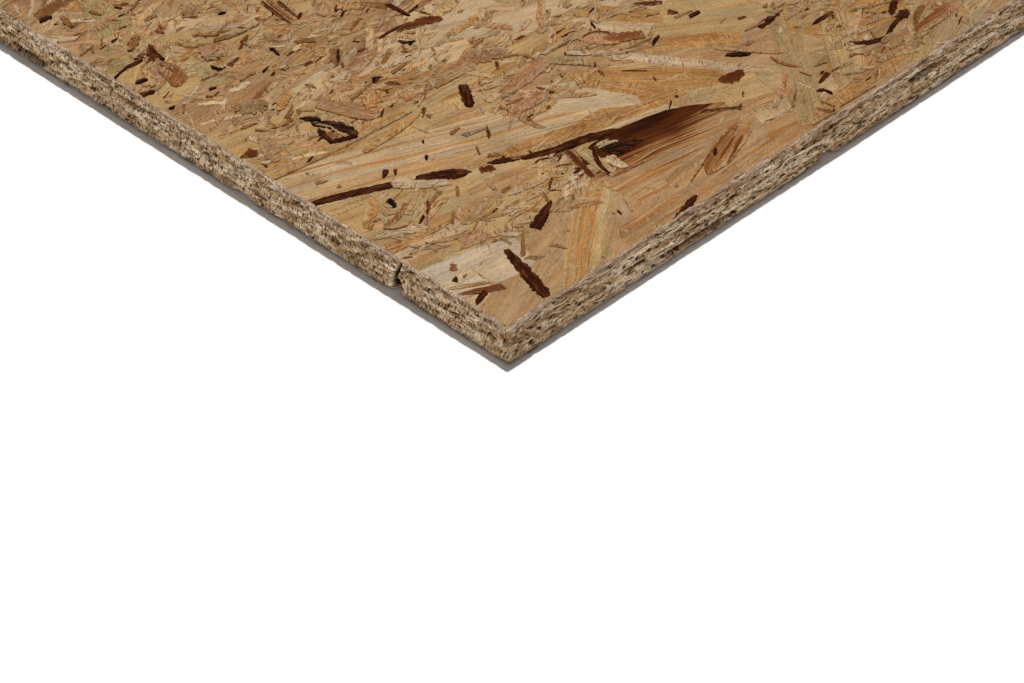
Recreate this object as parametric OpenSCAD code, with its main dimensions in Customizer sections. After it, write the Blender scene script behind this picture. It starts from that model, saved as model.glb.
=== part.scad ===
// Oriented strand board, cut to a handy panel: one pressed sheet that lies flat.
// Origin: middle of the underside. X runs the way the face strands lie, Z is up.
// The four sawn edges are open where a strand ended or the saw tore one out. Those gaps
// are measured from the near corner, where the front long side meets the left short end,
// and up from the underside.

/* [Panel] */
// Length of the panel, the way the face strands lie
panel_length = 1220; // [600:10:2440]
// Width of the panel, across the face strands
panel_width = 610; // [400:10:1220]
// Thickness of the pressed sheet
panel_thickness = 18; // [15:0.5:25]
// Ease that handling leaves on every arris
arris_ease = 0.4; // [0.2:0.1:1]

/* [Gaps in the sawn edges] */
// How far a gap between two strands reaches into the sheet
gap_depth = 3; // [1:0.5:8]
// How far a piece broken out of the lower arris reaches into the sheet
chip_depth = 4; // [1:0.5:8]

/* [Split in the front side] */
// Distance of the split from the near corner
split_from_corner = 78; // [20:1:120]
// Length of the split
split_length = 34; // [10:1:50]
// Widest opening of the split
split_opening = 2.4; // [1:0.2:4]
// Height of the split's middle above the underside
split_height = 3; // [2.5:0.1:8]

/* [Knot gap in the front side] */
// Distance of the gap from the near corner
knot_from_corner = 57; // [40:1:65]
// Length of the gap
knot_length = 5; // [3:0.5:10]
// Widest opening of the gap
knot_opening = 1.4; // [0.6:0.2:3]
// Height of the gap's middle above the underside
knot_height = 6; // [4:0.5:10]

/* [Core gap in the front side] */
// Distance of the gap from the near corner
side_gap_from_corner = 201; // [170:1:230]
// Length of the gap
side_gap_length = 21; // [10:1:40]
// Widest opening of the gap
side_gap_opening = 2; // [1:0.2:4]
// Height of the gap's middle above the underside
side_gap_height = 10; // [6:0.5:12]

/* [Chip under the front side] */
// Distance of the chip from the near corner
side_chip_from_corner = 154; // [130:1:165]
// Length of the chip along the arris
side_chip_length = 8; // [4:1:20]
// Height of the chip
side_chip_height = 3; // [1:0.5:5]

/* [Torn slot in the left end] */
// Distance of the slot's near side from the near corner
slot_from_corner = 52; // [30:1:70]
// Width that the whole slot spans
slot_width = 7; // [4:0.5:10]
// Width of the slot at its top
slot_top_width = 1.2; // [0.8:0.2:2]
// Height of the slot's wide foot
slot_foot_height = 7.5; // [4:0.5:9]
// Thickness of the sheet that is left above the slot
slot_cover = 2; // [1:0.5:4]

/* [Gaps in the left end] */
// Distance of the first gap from the near corner
first_gap_from_corner = 103; // [90:1:115]
// Length of the first gap
first_gap_length = 8; // [4:1:14]
// Height of the first gap's middle above the underside
first_gap_height = 12.5; // [8:0.5:12.5]
// Distance of the second gap from the near corner
second_gap_from_corner = 152; // [140:1:160]
// Length of the second gap
second_gap_length = 4.5; // [3:0.5:10]
// Height of the second gap's middle above the underside
second_gap_height = 8.5; // [6:0.5:12]
// Distance of the third gap from the near corner
third_gap_from_corner = 187; // [175:1:200]
// Length of the third gap
third_gap_length = 11; // [6:1:20]
// Height of the third gap's middle above the underside
third_gap_height = 10.5; // [6:0.5:12]
// Widest opening of the three gaps
end_gap_opening = 2.4; // [1:0.2:4]

/* [Chips under the left end] */
// Distance of the small chip from the near corner
small_chip_from_corner = 132; // [120:1:138]
// Length of the small chip along the arris
small_chip_length = 8; // [4:1:14]
// Height of the small chip
small_chip_height = 2; // [1:0.5:4]
// Distance of the large chip from the near corner
large_chip_from_corner = 245; // [225:1:270]
// Length of the large chip along the arris
large_chip_length = 15; // [8:1:30]
// Height of the large chip
large_chip_height = 4; // [2:0.5:6]

/* [Hidden] */
board_colour = [0.62, 0.48, 0.34];
slot_height = panel_thickness - slot_cover;
overcut = 1; // how far a cut starts outside the sheet, so that it opens cleanly

// A rectangle about the origin with its four corners eased
module eased_rectangle(across, up) {
    x = across / 2;
    y = up / 2;
    polygon([
        [-x + arris_ease, -y], [x - arris_ease, -y], [x, -y + arris_ease], [x, y - arris_ease],
        [x - arris_ease, y], [-x + arris_ease, y], [-x, y - arris_ease], [-x, -y + arris_ease]
    ]);
}

// The pressed sheet, with every arris eased
module sheet() {
    intersection() {
        linear_extrude(panel_thickness)
            eased_rectangle(panel_length, panel_width);
        translate([0, panel_width / 2, panel_thickness / 2])
            rotate([90, 0, 0])
                linear_extrude(panel_width)
                    eased_rectangle(panel_length, panel_thickness);
        translate([-panel_length / 2, 0, panel_thickness / 2])
            rotate([90, 0, 90])
                linear_extrude(panel_length)
                    eased_rectangle(panel_width, panel_thickness);
    }
}

// Outline of the gap that stays where one strand runs out between two others:
// it starts at the origin, opens to its widest over its middle and closes to a point
module strand_gap(length, opening) {
    polygon([
        [0, 0], [length * 0.35, -opening / 2], [length * 0.75, -opening / 2],
        [length, 0], [length * 0.6, opening / 2], [length * 0.25, opening / 2]
    ]);
}

// Outline of a piece broken out of the lower arris, open towards the floor
module arris_chip(length, height) {
    polygon([
        [0, -overcut], [length, -overcut], [length, 0],
        [length * 0.75, height], [length * 0.3, height * 0.8], [0, 0]
    ]);
}

// Outline of the slot that the saw tore through the left end: a wide hollow foot, open
// towards the floor, and a narrow neck that leans back towards the near corner
module torn_slot() {
    polygon([
        [slot_width * 0.45, -overcut], [slot_width, -overcut], [slot_width, 0],
        [slot_width * 0.85, slot_foot_height], [slot_top_width, slot_height],
        [0, slot_height], [slot_width * 0.5, slot_foot_height],
        [slot_width * 0.15, slot_foot_height * 0.9], [slot_width * 0.2, slot_foot_height * 0.5],
        [slot_width * 0.45, 0]
    ]);
}

// Sinks an outline into the front long side. Outline X runs along the side, outline Y up.
module cut_front_side(from_corner, height, depth) {
    translate([-panel_length / 2 + from_corner, -panel_width / 2 + depth, height])
        rotate([90, 0, 0])
            linear_extrude(depth + overcut)
                children();
}

// Sinks an outline into the left short end. Outline X runs along the end, outline Y up.
module cut_left_end(from_corner, height, depth) {
    translate([-panel_length / 2 - overcut, -panel_width / 2 + from_corner, height])
        rotate([90, 0, 90])
            linear_extrude(depth + overcut)
                children();
}

module front_side_gaps() {
    cut_front_side(split_from_corner, split_height, gap_depth)
        strand_gap(split_length, split_opening);
    cut_front_side(knot_from_corner, knot_height, gap_depth)
        strand_gap(knot_length, knot_opening);
    cut_front_side(side_gap_from_corner, side_gap_height, gap_depth)
        strand_gap(side_gap_length, side_gap_opening);
    cut_front_side(side_chip_from_corner, 0, chip_depth)
        arris_chip(side_chip_length, side_chip_height);
}

module left_end_gaps() {
    cut_left_end(slot_from_corner, 0, chip_depth)
        torn_slot();
    cut_left_end(first_gap_from_corner, first_gap_height, gap_depth)
        strand_gap(first_gap_length, end_gap_opening);
    cut_left_end(second_gap_from_corner, second_gap_height, gap_depth)
        strand_gap(second_gap_length, end_gap_opening);
    cut_left_end(third_gap_from_corner, third_gap_height, gap_depth)
        strand_gap(third_gap_length, end_gap_opening);
    cut_left_end(small_chip_from_corner, 0, chip_depth)
        arris_chip(small_chip_length, small_chip_height);
    cut_left_end(large_chip_from_corner, 0, chip_depth)
        arris_chip(large_chip_length, large_chip_height);
}

module board() {
    color(board_colour)
        difference() {
            sheet();
            front_side_gaps();
            left_end_gaps();
        }
}

board();
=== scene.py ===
# %% [markdown]
# # A panel of oriented strand board
# Oriented strand board is made of thin slices of softwood, the strands. They are dried, coated
# with glue, laid in a mat with most of the face strands along the panel, and pressed to one flat
# sheet. A saw then trims its four edges. This lesson dresses the plain slab of the frame. One
# flat colour with a pattern of strands would do from far off, but near by every strand has an
# edge and a grain of its own, so thousands of real strands are pressed into both faces.

# %% Load the frame
import functools
import math

import bmesh
import bpy
import mathutils
import numpy as np
from mathutils import Matrix, Vector


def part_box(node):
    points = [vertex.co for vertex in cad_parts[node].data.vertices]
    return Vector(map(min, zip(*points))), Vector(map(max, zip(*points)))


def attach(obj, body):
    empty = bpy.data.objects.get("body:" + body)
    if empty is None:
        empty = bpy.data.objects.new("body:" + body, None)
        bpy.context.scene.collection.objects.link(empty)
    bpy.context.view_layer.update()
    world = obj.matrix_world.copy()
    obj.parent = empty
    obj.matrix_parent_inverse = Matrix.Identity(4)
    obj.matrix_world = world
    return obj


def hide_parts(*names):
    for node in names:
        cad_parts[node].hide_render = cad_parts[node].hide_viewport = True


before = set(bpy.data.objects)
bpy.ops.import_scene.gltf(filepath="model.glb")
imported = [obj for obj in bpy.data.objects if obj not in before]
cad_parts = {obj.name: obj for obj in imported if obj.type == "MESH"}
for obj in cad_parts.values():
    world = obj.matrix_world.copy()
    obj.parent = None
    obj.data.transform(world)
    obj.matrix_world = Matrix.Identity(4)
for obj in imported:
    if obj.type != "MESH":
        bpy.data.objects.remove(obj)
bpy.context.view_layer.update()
low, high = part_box("board")
MM = 0.001  # one millimetre in Blender's metres
LENGTH, WIDTH, THICK = [side / MM for side in (high - low)]
print(f"board {LENGTH:.0f} x {WIDTH:.0f} x {THICK:.0f} mm")

# %% [markdown]
# ## The camera
# The view looks down on one corner, along both sawn edges. A long lens from a little way off
# keeps opposite sides nearly parallel, as they look in a catalogue picture. A camera can be put
# down by its coordinates, but two angles and a distance from the corner are easier to change, so
# its place follows from them, and a small roll tips the horizon.

# %% Camera
AZIMUTH, ELEVATION, ROLL = math.radians(-42.62), math.radians(39.67), math.radians(-2.52)
CAMERA_DISTANCE = 1.7166
AIM_FROM_CORNER = Vector((-0.0048, -0.0073, 0.0))
near_corner = Vector((low.x, low.y, high.z))


def make_camera():
    """A long-lens camera that looks at the near corner from above"""
    data = bpy.data.cameras.new("camera")
    data.lens = 180
    data.sensor_width = 36
    data.clip_end = 20
    camera = bpy.data.objects.new("camera", data)
    back = Vector((math.sin(AZIMUTH) * math.cos(ELEVATION),
                   -math.cos(AZIMUTH) * math.cos(ELEVATION),
                   math.sin(ELEVATION)))
    right = (-back).cross(Vector((0, 0, 1))).normalized()
    up = right.cross(-back)
    turned_right = right * math.cos(ROLL) + up * math.sin(ROLL)
    turned_up = up * math.cos(ROLL) - right * math.sin(ROLL)
    axes = Matrix((turned_right, turned_up, back)).transposed().to_4x4()
    axes.translation = near_corner + AIM_FROM_CORNER + back * CAMERA_DISTANCE
    camera.matrix_world = axes
    bpy.context.scene.collection.objects.link(camera)
    bpy.context.scene.camera = camera
    return camera


camera = make_camera()
print("camera stands at", [round(c, 3) for c in camera.matrix_world.translation])

# %% [markdown]
# ## Small helpers for node trees
# Shader trees and geometry trees are both built from nodes, sockets and links. Here whatever
# leaves a socket is wrapped as a value, and each sign written between values adds one maths
# node with its links, so a formula can be written as a formula. A socket knows the tree that it
# belongs to, so only the nodes that start a chain have to be told which tree they go into.

# %% Values that add up in a node tree
class Value:
    """What leaves a socket; each sign written with it adds one maths node"""

    def __init__(self, socket):
        self.socket = socket

    def __add__(self, other):
        return maths("ADD", self, other)

    def __sub__(self, other):
        return maths("SUBTRACT", self, other)

    def __rsub__(self, other):
        return maths("SUBTRACT", other, self)

    def __mul__(self, other):
        return maths("MULTIPLY", self, other)

    def __truediv__(self, other):
        return maths("DIVIDE", self, other)

    def __pow__(self, other):
        return maths("POWER", self, other)

    def __abs__(self):
        return maths("ABSOLUTE", self)


def add(tree, kind, **settings):
    """Adds a node of this kind and sets its options"""
    node = tree.nodes.new(kind)
    for name, value in settings.items():
        setattr(node, name, value)
    return node


def feed(socket, value):
    """Links a value to a socket, or sets a plain number or colour on it"""
    if isinstance(value, Value):
        socket.id_data.links.new(value.socket, socket)
    else:
        socket.default_value = value


def source(tree, kind, output=0, **settings):
    """A node that starts a chain, and one of its outputs"""
    return Value(add(tree, kind, **settings).outputs[output])


def step_of(kind, *values, **settings):
    """A node that works on values: it joins their tree, and they feed its sockets in order"""
    tree = next(value.socket.id_data for value in values if isinstance(value, Value))
    node = add(tree, kind, **settings)
    for socket, value in zip(node.inputs, values):
        feed(socket, value)
    return node


print("signs that add a node:", "+ - * / **")

# %% [markdown]
# With these few words every other helper is one or two lines. Each adds one kind of node and
# hands back what leaves it, ready for the next formula.

# %% Node helpers
def maths(operation, *values):
    """One maths node, and its result"""
    return Value(step_of("ShaderNodeMath", *values, operation=operation).outputs[0])


def vector(x, y, z):
    """Three values joined to one vector"""
    return Value(step_of("ShaderNodeCombineXYZ", x, y, z).outputs[0])


def parts(value):
    """The three values of a vector"""
    return [Value(socket) for socket in step_of("ShaderNodeSeparateXYZ", value).outputs]


def noise(place, detail=2.0, roughness=0.5):
    """Smooth noise from 0 to 1, read at a place whose unit is one bump"""
    node = step_of("ShaderNodeTexNoise", place, noise_dimensions="3D")
    node.inputs["Scale"].default_value = 1.0
    node.inputs["Detail"].default_value = detail
    node.inputs["Roughness"].default_value = roughness
    return Value(node.outputs[0])


def between(value, low_in, high_in, low_out=0.0, high_out=1.0):
    """A value carried from one range to another, and held inside it"""
    ranges = (low_in, high_in, low_out, high_out)
    return Value(step_of("ShaderNodeMapRange", value, *ranges, clamp=True).outputs[0])


def blend(share, first, second, way="MIX"):
    """Two colours blended"""
    tree = next(value.socket.id_data for value in (share, first, second)
                if isinstance(value, Value))
    node = add(tree, "ShaderNodeMix", data_type="RGBA", blend_type=way)
    feed(node.inputs[0], share)
    feed(node.inputs[6], first)
    feed(node.inputs[7], second)
    return Value(node.outputs[2])


def scaled(colour, amount):
    """A colour or a place multiplied by an amount"""
    node = step_of("ShaderNodeVectorMath", colour, operation="SCALE")
    feed(node.inputs["Scale"], amount)
    return Value(node.outputs[0])


def new_group(name, kind, inputs, outputs):
    """A node group with named sockets, the values given to it, and the sockets it fills"""
    group = bpy.data.node_groups.new(name, kind)
    for socket, (kind_of, default) in inputs.items():
        made = group.interface.new_socket(name=socket, in_out="INPUT", socket_type=kind_of)
        if default is not None:
            made.default_value = default
    for socket, kind_of in outputs.items():
        group.interface.new_socket(name=socket, in_out="OUTPUT", socket_type=kind_of)
    given = {socket.name: Value(socket) for socket in group.nodes.new("NodeGroupInput").outputs}
    return group, given, group.nodes.new("NodeGroupOutput").inputs


print("helpers:", ", ".join(helper.__name__ for helper in (maths, vector, parts, noise, between,
                                                            blend, scaled, new_group)))

# %% [markdown]
# ## Floor and light
# The panel lies on a plain pale floor in a studio. A weak white world gives light from all
# round, a strong lamp high up behind the panel lets the strands show their edges, and a wide
# weak one in front fills the sawn sides. Lamps close by would light one end of a long panel more
# than the other, so both are suns, whose light is even. The camera sees floor and world as
# white, so the floor carries nothing but the panel's shadow.

# %% Stage
FLOOR_GAP = 0.0003  # the floor lies this far below the panel, in metres


def make_world(strength=0.16):
    """White light from all sides; the camera sees it as plain white"""
    world = bpy.data.worlds.new("studio")
    world.use_nodes = True
    tree = world.node_tree
    tree.nodes.clear()
    seen = source(tree, "ShaderNodeLightPath", "Is Camera Ray")
    for ray in ("Is Glossy Ray", "Is Transmission Ray"):
        seen = maths("MAXIMUM", seen, source(tree, "ShaderNodeLightPath", ray))
    background = add(tree, "ShaderNodeBackground")
    feed(background.inputs["Strength"], between(seen, 0, 1, strength, 1.0))
    output = add(tree, "ShaderNodeOutputWorld")
    feed(output.inputs["Surface"], Value(background.outputs["Background"]))
    bpy.context.scene.world = world


def make_floor(size=14.0):
    """A pale floor that looks white where nothing shades it"""
    mesh = bpy.data.meshes.new("floor")
    half = size / 2
    mesh.from_pydata([(-half, -half, 0), (half, -half, 0), (half, half, 0), (-half, half, 0)],
                     [], [(0, 1, 2, 3)])
    floor = bpy.data.objects.new("floor", mesh)
    floor.location.z = low.z - FLOOR_GAP
    bpy.context.scene.collection.objects.link(floor)
    material = bpy.data.materials.new("pale_floor")
    material.use_nodes = True
    tree = material.node_tree
    surface = tree.nodes["Principled BSDF"]
    surface.inputs["Roughness"].default_value = 0.9
    surface.inputs["Specular IOR Level"].default_value = 0.0
    seen = source(tree, "ShaderNodeLightPath", "Is Camera Ray")
    grey = between(seen, 0, 1, 0.92, 1.0)
    feed(surface.inputs["Base Color"], vector(grey, grey, grey))
    surface.inputs["Emission Color"].default_value = (1, 1, 1, 1)
    feed(surface.inputs["Emission Strength"], seen * 0.01)
    mesh.materials.append(material)


def make_lamp(name, toward, width, share):
    """A lamp so far off that its light is even: its direction, width in degrees, share of white"""
    data = bpy.data.lights.new(name, "SUN")
    data.angle = math.radians(width)
    data.energy = share * math.pi
    lamp = bpy.data.objects.new(name, data)
    lamp.location = near_corner + Vector(toward)
    lamp.rotation_euler = (-Vector(toward)).to_track_quat("-Z", "Y").to_euler()
    bpy.context.scene.collection.objects.link(lamp)


make_world()
make_floor()
make_lamp("key_lamp", (0.46, 0.33, 3.0), 2.3, 0.87)
make_lamp("fill_lamp", (-2.2, -2.2, 0.7), 28, 0.2)
bpy.context.scene.view_settings.view_transform = "Standard"

# %% [markdown]
# ## The woods
# A mat of strands holds sapwood, heartwood and bark of several trees. Each strand is one flat
# tint with grain over it. The tints are named as a joiner would name them, and are written as
# they look on screen; Blender wants them in linear light, so a short function converts them.

# %% Wood tints
def screen_colour(red, green, blue):
    """A colour as seen on screen (0 to 255) in linear light"""
    def linear(c):
        c /= 255
        return c / 12.92 if c <= 0.04045 else ((c + 0.055) / 1.055) ** 2.4
    return (linear(red), linear(green), linear(blue), 1.0)


def tints(**seen):
    """Tints by name, as seen on screen, in linear light"""
    return {name: screen_colour(*colour) for name, colour in seen.items()}


WOODS = tints(
    pale=(199, 176, 147), cream=(192, 165, 129), straw=(180, 150, 105), tan=(170, 136, 98),
    gold=(174, 129, 76), pink=(166, 124, 92), green=(160, 141, 96), grey=(128, 104, 76),
    umber=(126, 80, 42), heart=(82, 42, 20), bark=(50, 21, 9), soot=(24, 15, 11))
# how strongly the rings of each wood show
FIGURE = {"pale": 0.25, "cream": 0.5, "straw": 0.55, "tan": 0.6, "gold": 0.6, "pink": 0.45,
          "green": 0.35, "grey": 0.5, "umber": 0.7, "heart": 0.5, "bark": 0.2, "soot": 0.1}
# what the years, the press and the saw add to the woods, and the painted shade in their cracks,
# gaps, pits and at the foot of a side
GRAIN_TINTS = tints(ring=(122, 70, 36), aged=(80, 38, 14), oldest=(44, 20, 9), fleck=(122, 66, 34))
MAT_TINTS = tints(tan=(178, 138, 95), straw=(178, 151, 108), pink=(174, 128, 98),
                  # slit is painted shade, the dark of a hairline crack
                  brown=(150, 98, 54), sliver=(202, 174, 138), slit=(94, 56, 30),
                  # ground and pale_ground are dark with glue and painted shade, for the gaps
                  # between strands
                  ground=(96, 62, 34), pale_ground=(136, 104, 68))
# low and foot are a painted shadow at the bottom of a side, where it meets the floor; pit and gap
# are painted shade in pits and gaps
SAWN_TINTS = tints(tan=(172, 131, 88), cream=(222, 185, 142), pale=(246, 223, 190),
                   hair=(250, 226, 194), pit=(70, 40, 24), rubbed=(206, 180, 164),
                   low=(92, 62, 40), foot=(40, 26, 18), gap=(50, 28, 14))
print(len(WOODS), "woods")

# %% [markdown]
# ## Dealing the strands
# A strand is described by a few numbers: where its middle lies, how long, wide and thick it is,
# how it is turned, bowed, tapered and torn, which wood it is and how high in the mat it lies. A
# deck of such strands is only a list. Whatever lies higher hides what lies lower, as in the real
# press, so the deck also decides what shows.

# %% Deck of strands
SLIVER, CHIP, BROAD, TORN = range(4)  # how finely a strand is cut into sections
STRAND = 1.1  # thickness of a strand, in mm
STEP = 0.0012  # strand tops lie on fine steps, so that no two are level, in mm


class Deck:
    """A growing list of strands, all sizes in millimetres from the middle of the face"""

    def __init__(self):
        self.rows = []
        self.level = 180.0
        self.rise = 1.0

    def add(self, wood, middle, size, turn, level, kind, bow=0.0, tip=0.0, wedge=0.0,
            rag=0.3, figure=None, heart=0.0, seed=0.0, shade=1.0):
        tint = [c * shade for c in WOODS[wood][:3]] + [1.0]
        figure = FIGURE[wood] if figure is None else figure
        self.rows.append((*middle, 0.0, *size, bow, tip, rag, wedge, turn, level,
                          figure, heart, seed, *tint, kind))

    def table(self):
        return np.array(self.rows, dtype=float)


COLUMNS = {"centre": (0, 3), "size": (3, 6), "shape": (6, 9), "lie": (9, 12),
           "figure": (12, 15), "wood": (15, 19), "kind": (19, 20)}
print("a strand has", sum(last - first for first, last in COLUMNS.values()), "numbers")

# %% [markdown]
# Some strands are laid one by one, each from one point to another, in millimetres from the near
# corner, first along the front side and then along the left end. There is a word for each way
# that a strand can be cut, so that a line below reads like an order at the bench. Dark splinters
# are always a little ragged and lie askew.

# %% Laying a strand
DARK_WOODS = ("umber", "heart", "bark", "soot", "grey")
hand_laid = Deck()


def lay(kind, wood, start, end, width, **shape):
    """Lays one strand from one point to another, on top of what was laid before"""
    laid = len(hand_laid.rows)
    if kind in (SLIVER, CHIP) and wood in DARK_WOODS:
        width *= 0.85
        shape["tip"] = 0.55 * shape.get("tip", 0.4)
        shape.setdefault("rag", 0.9)
        shape.setdefault("wedge", 0.45 * math.sin(7.0 * laid))
    run = (end[0] - start[0], end[1] - start[1])
    middle = ((start[0] + end[0]) / 2 - LENGTH / 2, (start[1] + end[1]) / 2 - WIDTH / 2)
    hand_laid.add(wood, middle, (math.hypot(*run), width, STRAND), math.atan2(run[1], run[0]),
                  hand_laid.level, kind, seed=3 + 0.37 * (laid % 500), **shape)
    hand_laid.level += hand_laid.rise


sliver, chip, broad, torn = [functools.partial(lay, kind) for kind in (SLIVER, CHIP, BROAD, TORN)]
print("four words lay the strands: sliver, chip, broad and torn")

# %% [markdown]
# ## The strands at the near corner
# A few broad strands give this corner its face: a long cream one with orange rings that runs in
# from the left end, a dark piece of heartwood beside it, and a straw-coloured one that crosses
# from the front side. Chance would never lay them like this, so they are listed one by one,
# largest first, because each one hides what was laid before.

# %% Broad strands of the near corner
broad("straw", (-12, 150), (70, 128), 26, bow=2)
broad("straw", (-10, 180), (80, 165), 24)
broad("straw", (20, 215), (95, 175), 22)
broad("cream", (40, 152), (128, 140), 22, figure=0.3)
broad("tan", (-10, 226), (60, 228), 20)
broad("cream", (92, 132), (170, 92), 26, bow=1)
broad("cream", (84, 134), (150, 110), 20, figure=0.25)
broad("straw", (52, 107), (142, 106), 15, figure=0.9, rag=0.5)
broad("tan", (60, 92), (130, 80), 22)
broad("tan", (-8, 62), (70, 46), 26)
broad("straw", (-14, 84), (44, 66), 20)
broad("cream", (-10, 58), (36, 50), 12, figure=0.9)
broad("tan", (120, 66), (196, 40), 24)
broad("straw", (112, 59), (152, 52), 15, heart=0.2)
broad("straw", (158, 86), (212, 46), 22, figure=0.8)
broad("gold", (146, 78), (172, 56), 9, heart=0.15)
broad("tan", (182, 56), (224, 44), 13, figure=1.0)
broad("gold", (190, 36), (232, 30), 17, shade=0.92)
broad("tan", (-14, -4), (64, 24), 24, figure=0.4, shade=1.1)
broad("tan", (50, -10), (104, 28), 22, figure=0.4, shade=1.06)
broad("tan", (60, 4), (176, 1), 13, figure=0.9)
broad("tan", (150, 6), (262, 3), 15, figure=0.8, shade=0.9)
broad("pink", (164, 15), (236, 13), 9, figure=0.7, shade=0.88)
torn("tan", (78, 28), (160, 17), 24, figure=1.0, rag=0.5)
torn("tan", (80, 41), (160, 22), 22, figure=1.0, rag=0.4)
broad("cream", (136, 20), (176, 13), 9, figure=0.5, shade=0.9)
broad("tan", (92, 13), (140, 15), 15, figure=0.5)
broad("straw", (56, 94), (88, 86), 12)
torn("cream", (-16, 113), (122, 56), 25, figure=1.0, rag=0.5, bow=2.5)
broad("gold", (92, 61), (150, 49), 11, figure=0.9, tip=0.5)
broad("cream", (96, 82), (124, 62), 18, figure=0.3)
broad("straw", (118, 76), (150, 52), 16, figure=0.6)
broad("straw", (148, 40), (172, 25), 15, figure=0.4)
broad("straw", (132, 42), (158, 32), 14, figure=0.4)
torn("straw", (24, -8), (84, 41.5), 13, figure=1.0, tip=0.5, rag=0.5, shade=1.05)
chip("gold", (64, 24), (80, 37), 4, tip=0.9, shade=1.05)
torn("pale", (-12, 36), (33, 25), 21, figure=0.15, tip=0.3, shade=0.94)
broad("gold", (114, 82), (150, 44), 13, figure=0.9, tip=0.3)
torn("pale", (130, 88), (166, 35), 5.5, figure=0.5, tip=0.5, bow=-1)
broad("gold", (52, 72.5), (126, 51), 8, tip=0.8, bow=-0.5, figure=0.9)
torn("straw", (152, 2), (196, 60), 12, figure=0.7, tip=0.2, shade=0.8)
broad("straw", (178, 6), (208, 42), 9, figure=0.6, tip=0.3, shade=0.88)
torn("gold", (110.5, 90), (126, 57.5), 6, tip=0.35, wedge=0.45, rag=0.2)
broad("cream", (138, 108), (153, 83), 9, figure=0.2, tip=0.4)
broad("gold", (142, 112), (162, 86), 9, figure=0.6, tip=0.4)
broad("straw", (204, 2), (246, 24), 10, figure=0.7, shade=0.85)
broad("gold", (214, 0), (244, 14), 7, figure=0.8)
broad("straw", (207, 42), (183, 13), 13, figure=1.0)
broad("gold", (156, 5), (214, 7.5), 7, figure=0.9, tip=0.4, shade=0.85)
broad("green", (234, 31), (209, -1), 7, figure=0.5, shade=0.9)
broad("gold", (243, 25), (221, -6), 9, figure=1.0, heart=0.3, shade=0.9)
broad("green", (1, 118), (50, 111.5), 3, tip=0.6, figure=0.5)
broad("green", (6, 205), (26, 244), 9, figure=0.4, shade=0.9)
broad("cream", (30, 218), (54, 198), 10, figure=0.2)
broad("green", (26, 172), (27, 268), 6.5, figure=0.2, bow=1)
broad("gold", (62.5, 169), (61, 214), 5, figure=0.4)
broad("straw", (0, 122), (58, 110), 9, figure=0.9)
torn("tan", (73, 41.5), (139, 28.4), 26.6, figure=1.0, tip=0.72, rag=0.25, heart=1.7, bow=1.2)
print(len(hand_laid.rows), "broad strands")

# %% [markdown]
# Between the larger strands the mat is full of crumbs: short slats of any wood that broke off in
# the drum. Nobody would lay a thousand crumbs by hand, so they are dealt by a seeded dice over
# the parts of the face that need them, thicker in some fields than in others. They come before
# the bark, which lies on top of them.

# %% Crumbs
CRUMB_WOODS = {"tan": 0.27, "cream": 0.22, "straw": 0.18, "gold": 0.1, "pink": 0.1,
               "umber": 0.05, "heart": 0.01, "pale": 0.07}
SPECK_WOODS = ["umber", "heart", "grey", "bark"]
CRUMB_FIELDS = [  # how many slats and specks, two corners of the field, and how light they are
    (60, 24, (56, 30), (82, 58), 1.0), (340, 84, (0, 118), (62, 262), 1.02),
    (190, 40, (56, 112), (112, 205), 1.0), (60, 14, (76, 76), (132, 104), 1.0),
    (90, 20, (180, 4), (246, 62), 0.88), (24, 6, (26, 36), (54, 52), 1.0),
    (40, 10, (108, 92), (170, 118), 0.95), (34, 6, (0, 50), (30, 72), 1.0)]


def lay_crumbs(slats, specks, low_corner, high_corner, light, rng):
    """Small slats of any wood and dark specks, scattered over a part of the face"""
    woods, shares = list(CRUMB_WOODS), list(CRUMB_WOODS.values())
    for number in range(slats + specks):
        start, turn = rng.uniform(low_corner, high_corner), rng.normal(0.0, 0.55)
        if number < slats:
            wood, length = woods[rng.choice(len(woods), p=shares)], 3 + 15 * rng.uniform() ** 1.8
            width = rng.uniform(0.5 + 0.07 * length, 1.1 + 0.17 * length)
        else:
            wood, length = SPECK_WOODS[rng.integers(4)], rng.uniform(1.2, 4.5)
            width = rng.uniform(0.5, 1.5)
        end = start + (math.cos(turn) * length, math.sin(turn) * length)
        chip(wood, tuple(start), tuple(end), width, tip=rng.uniform(0.05, 0.6),
             wedge=rng.normal(0, 0.2), rag=rng.uniform(0.4, 1.2), bow=rng.normal(0, 0.04) * length,
             shade=light * rng.normal(1.0, 0.14))


CRUMB_RISE = 0.25  # crumbs lie flatter on each other than whole strands do
hand_laid.rise = CRUMB_RISE
crumb_dice = np.random.default_rng(11)
for field in CRUMB_FIELDS:
    lay_crumbs(*field, crumb_dice)
hand_laid.rise = 1.0
print(len(hand_laid.rows), "strands in the deck so far")

# %% [markdown]
# Bark, knots and slivers lie on top of the broad strands. Bark is nearly black and torn at its
# rim; slivers are split off along the grain, so they taper to both ends. They are laid in
# groups, walking from the corner outwards.

# %% Bark and chips within a hand's breadth of the corner
torn("bark", (28.5, 30), (20.4, 1.6), 4.6, rag=0.9, tip=0.5, wedge=0.25, figure=0.4)
torn("bark", (43.5, 31), (58.5, 38), 3.8, rag=0.4, tip=0.3, wedge=-0.6)
chip("umber", (57, 38), (60, 44), 1.2, tip=0.7)
sliver("soot", (4.4, 30.2), (6.4, 31.4), 2.2, tip=0.3)
chip("heart", (8, 34.5), (11, 37.6), 3.0, tip=0.5, shade=2.4)
sliver("umber", (8, 29.6), (10, 30.4), 1.5, tip=0.5)
chip("gold", (-1, 29.5), (11.5, 22), 1.6, tip=0.7)
chip("heart", (-1, 25), (14, 16.6), 2.8, tip=0.6, rag=0.5, shade=1.7)
chip("bark", (1.2, 16.4), (8.4, 19), 2.6, tip=0.8, rag=0.6)
chip("grey", (30.3, 21.8), (34.5, 17.8), 2.2, tip=0.8)
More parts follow.
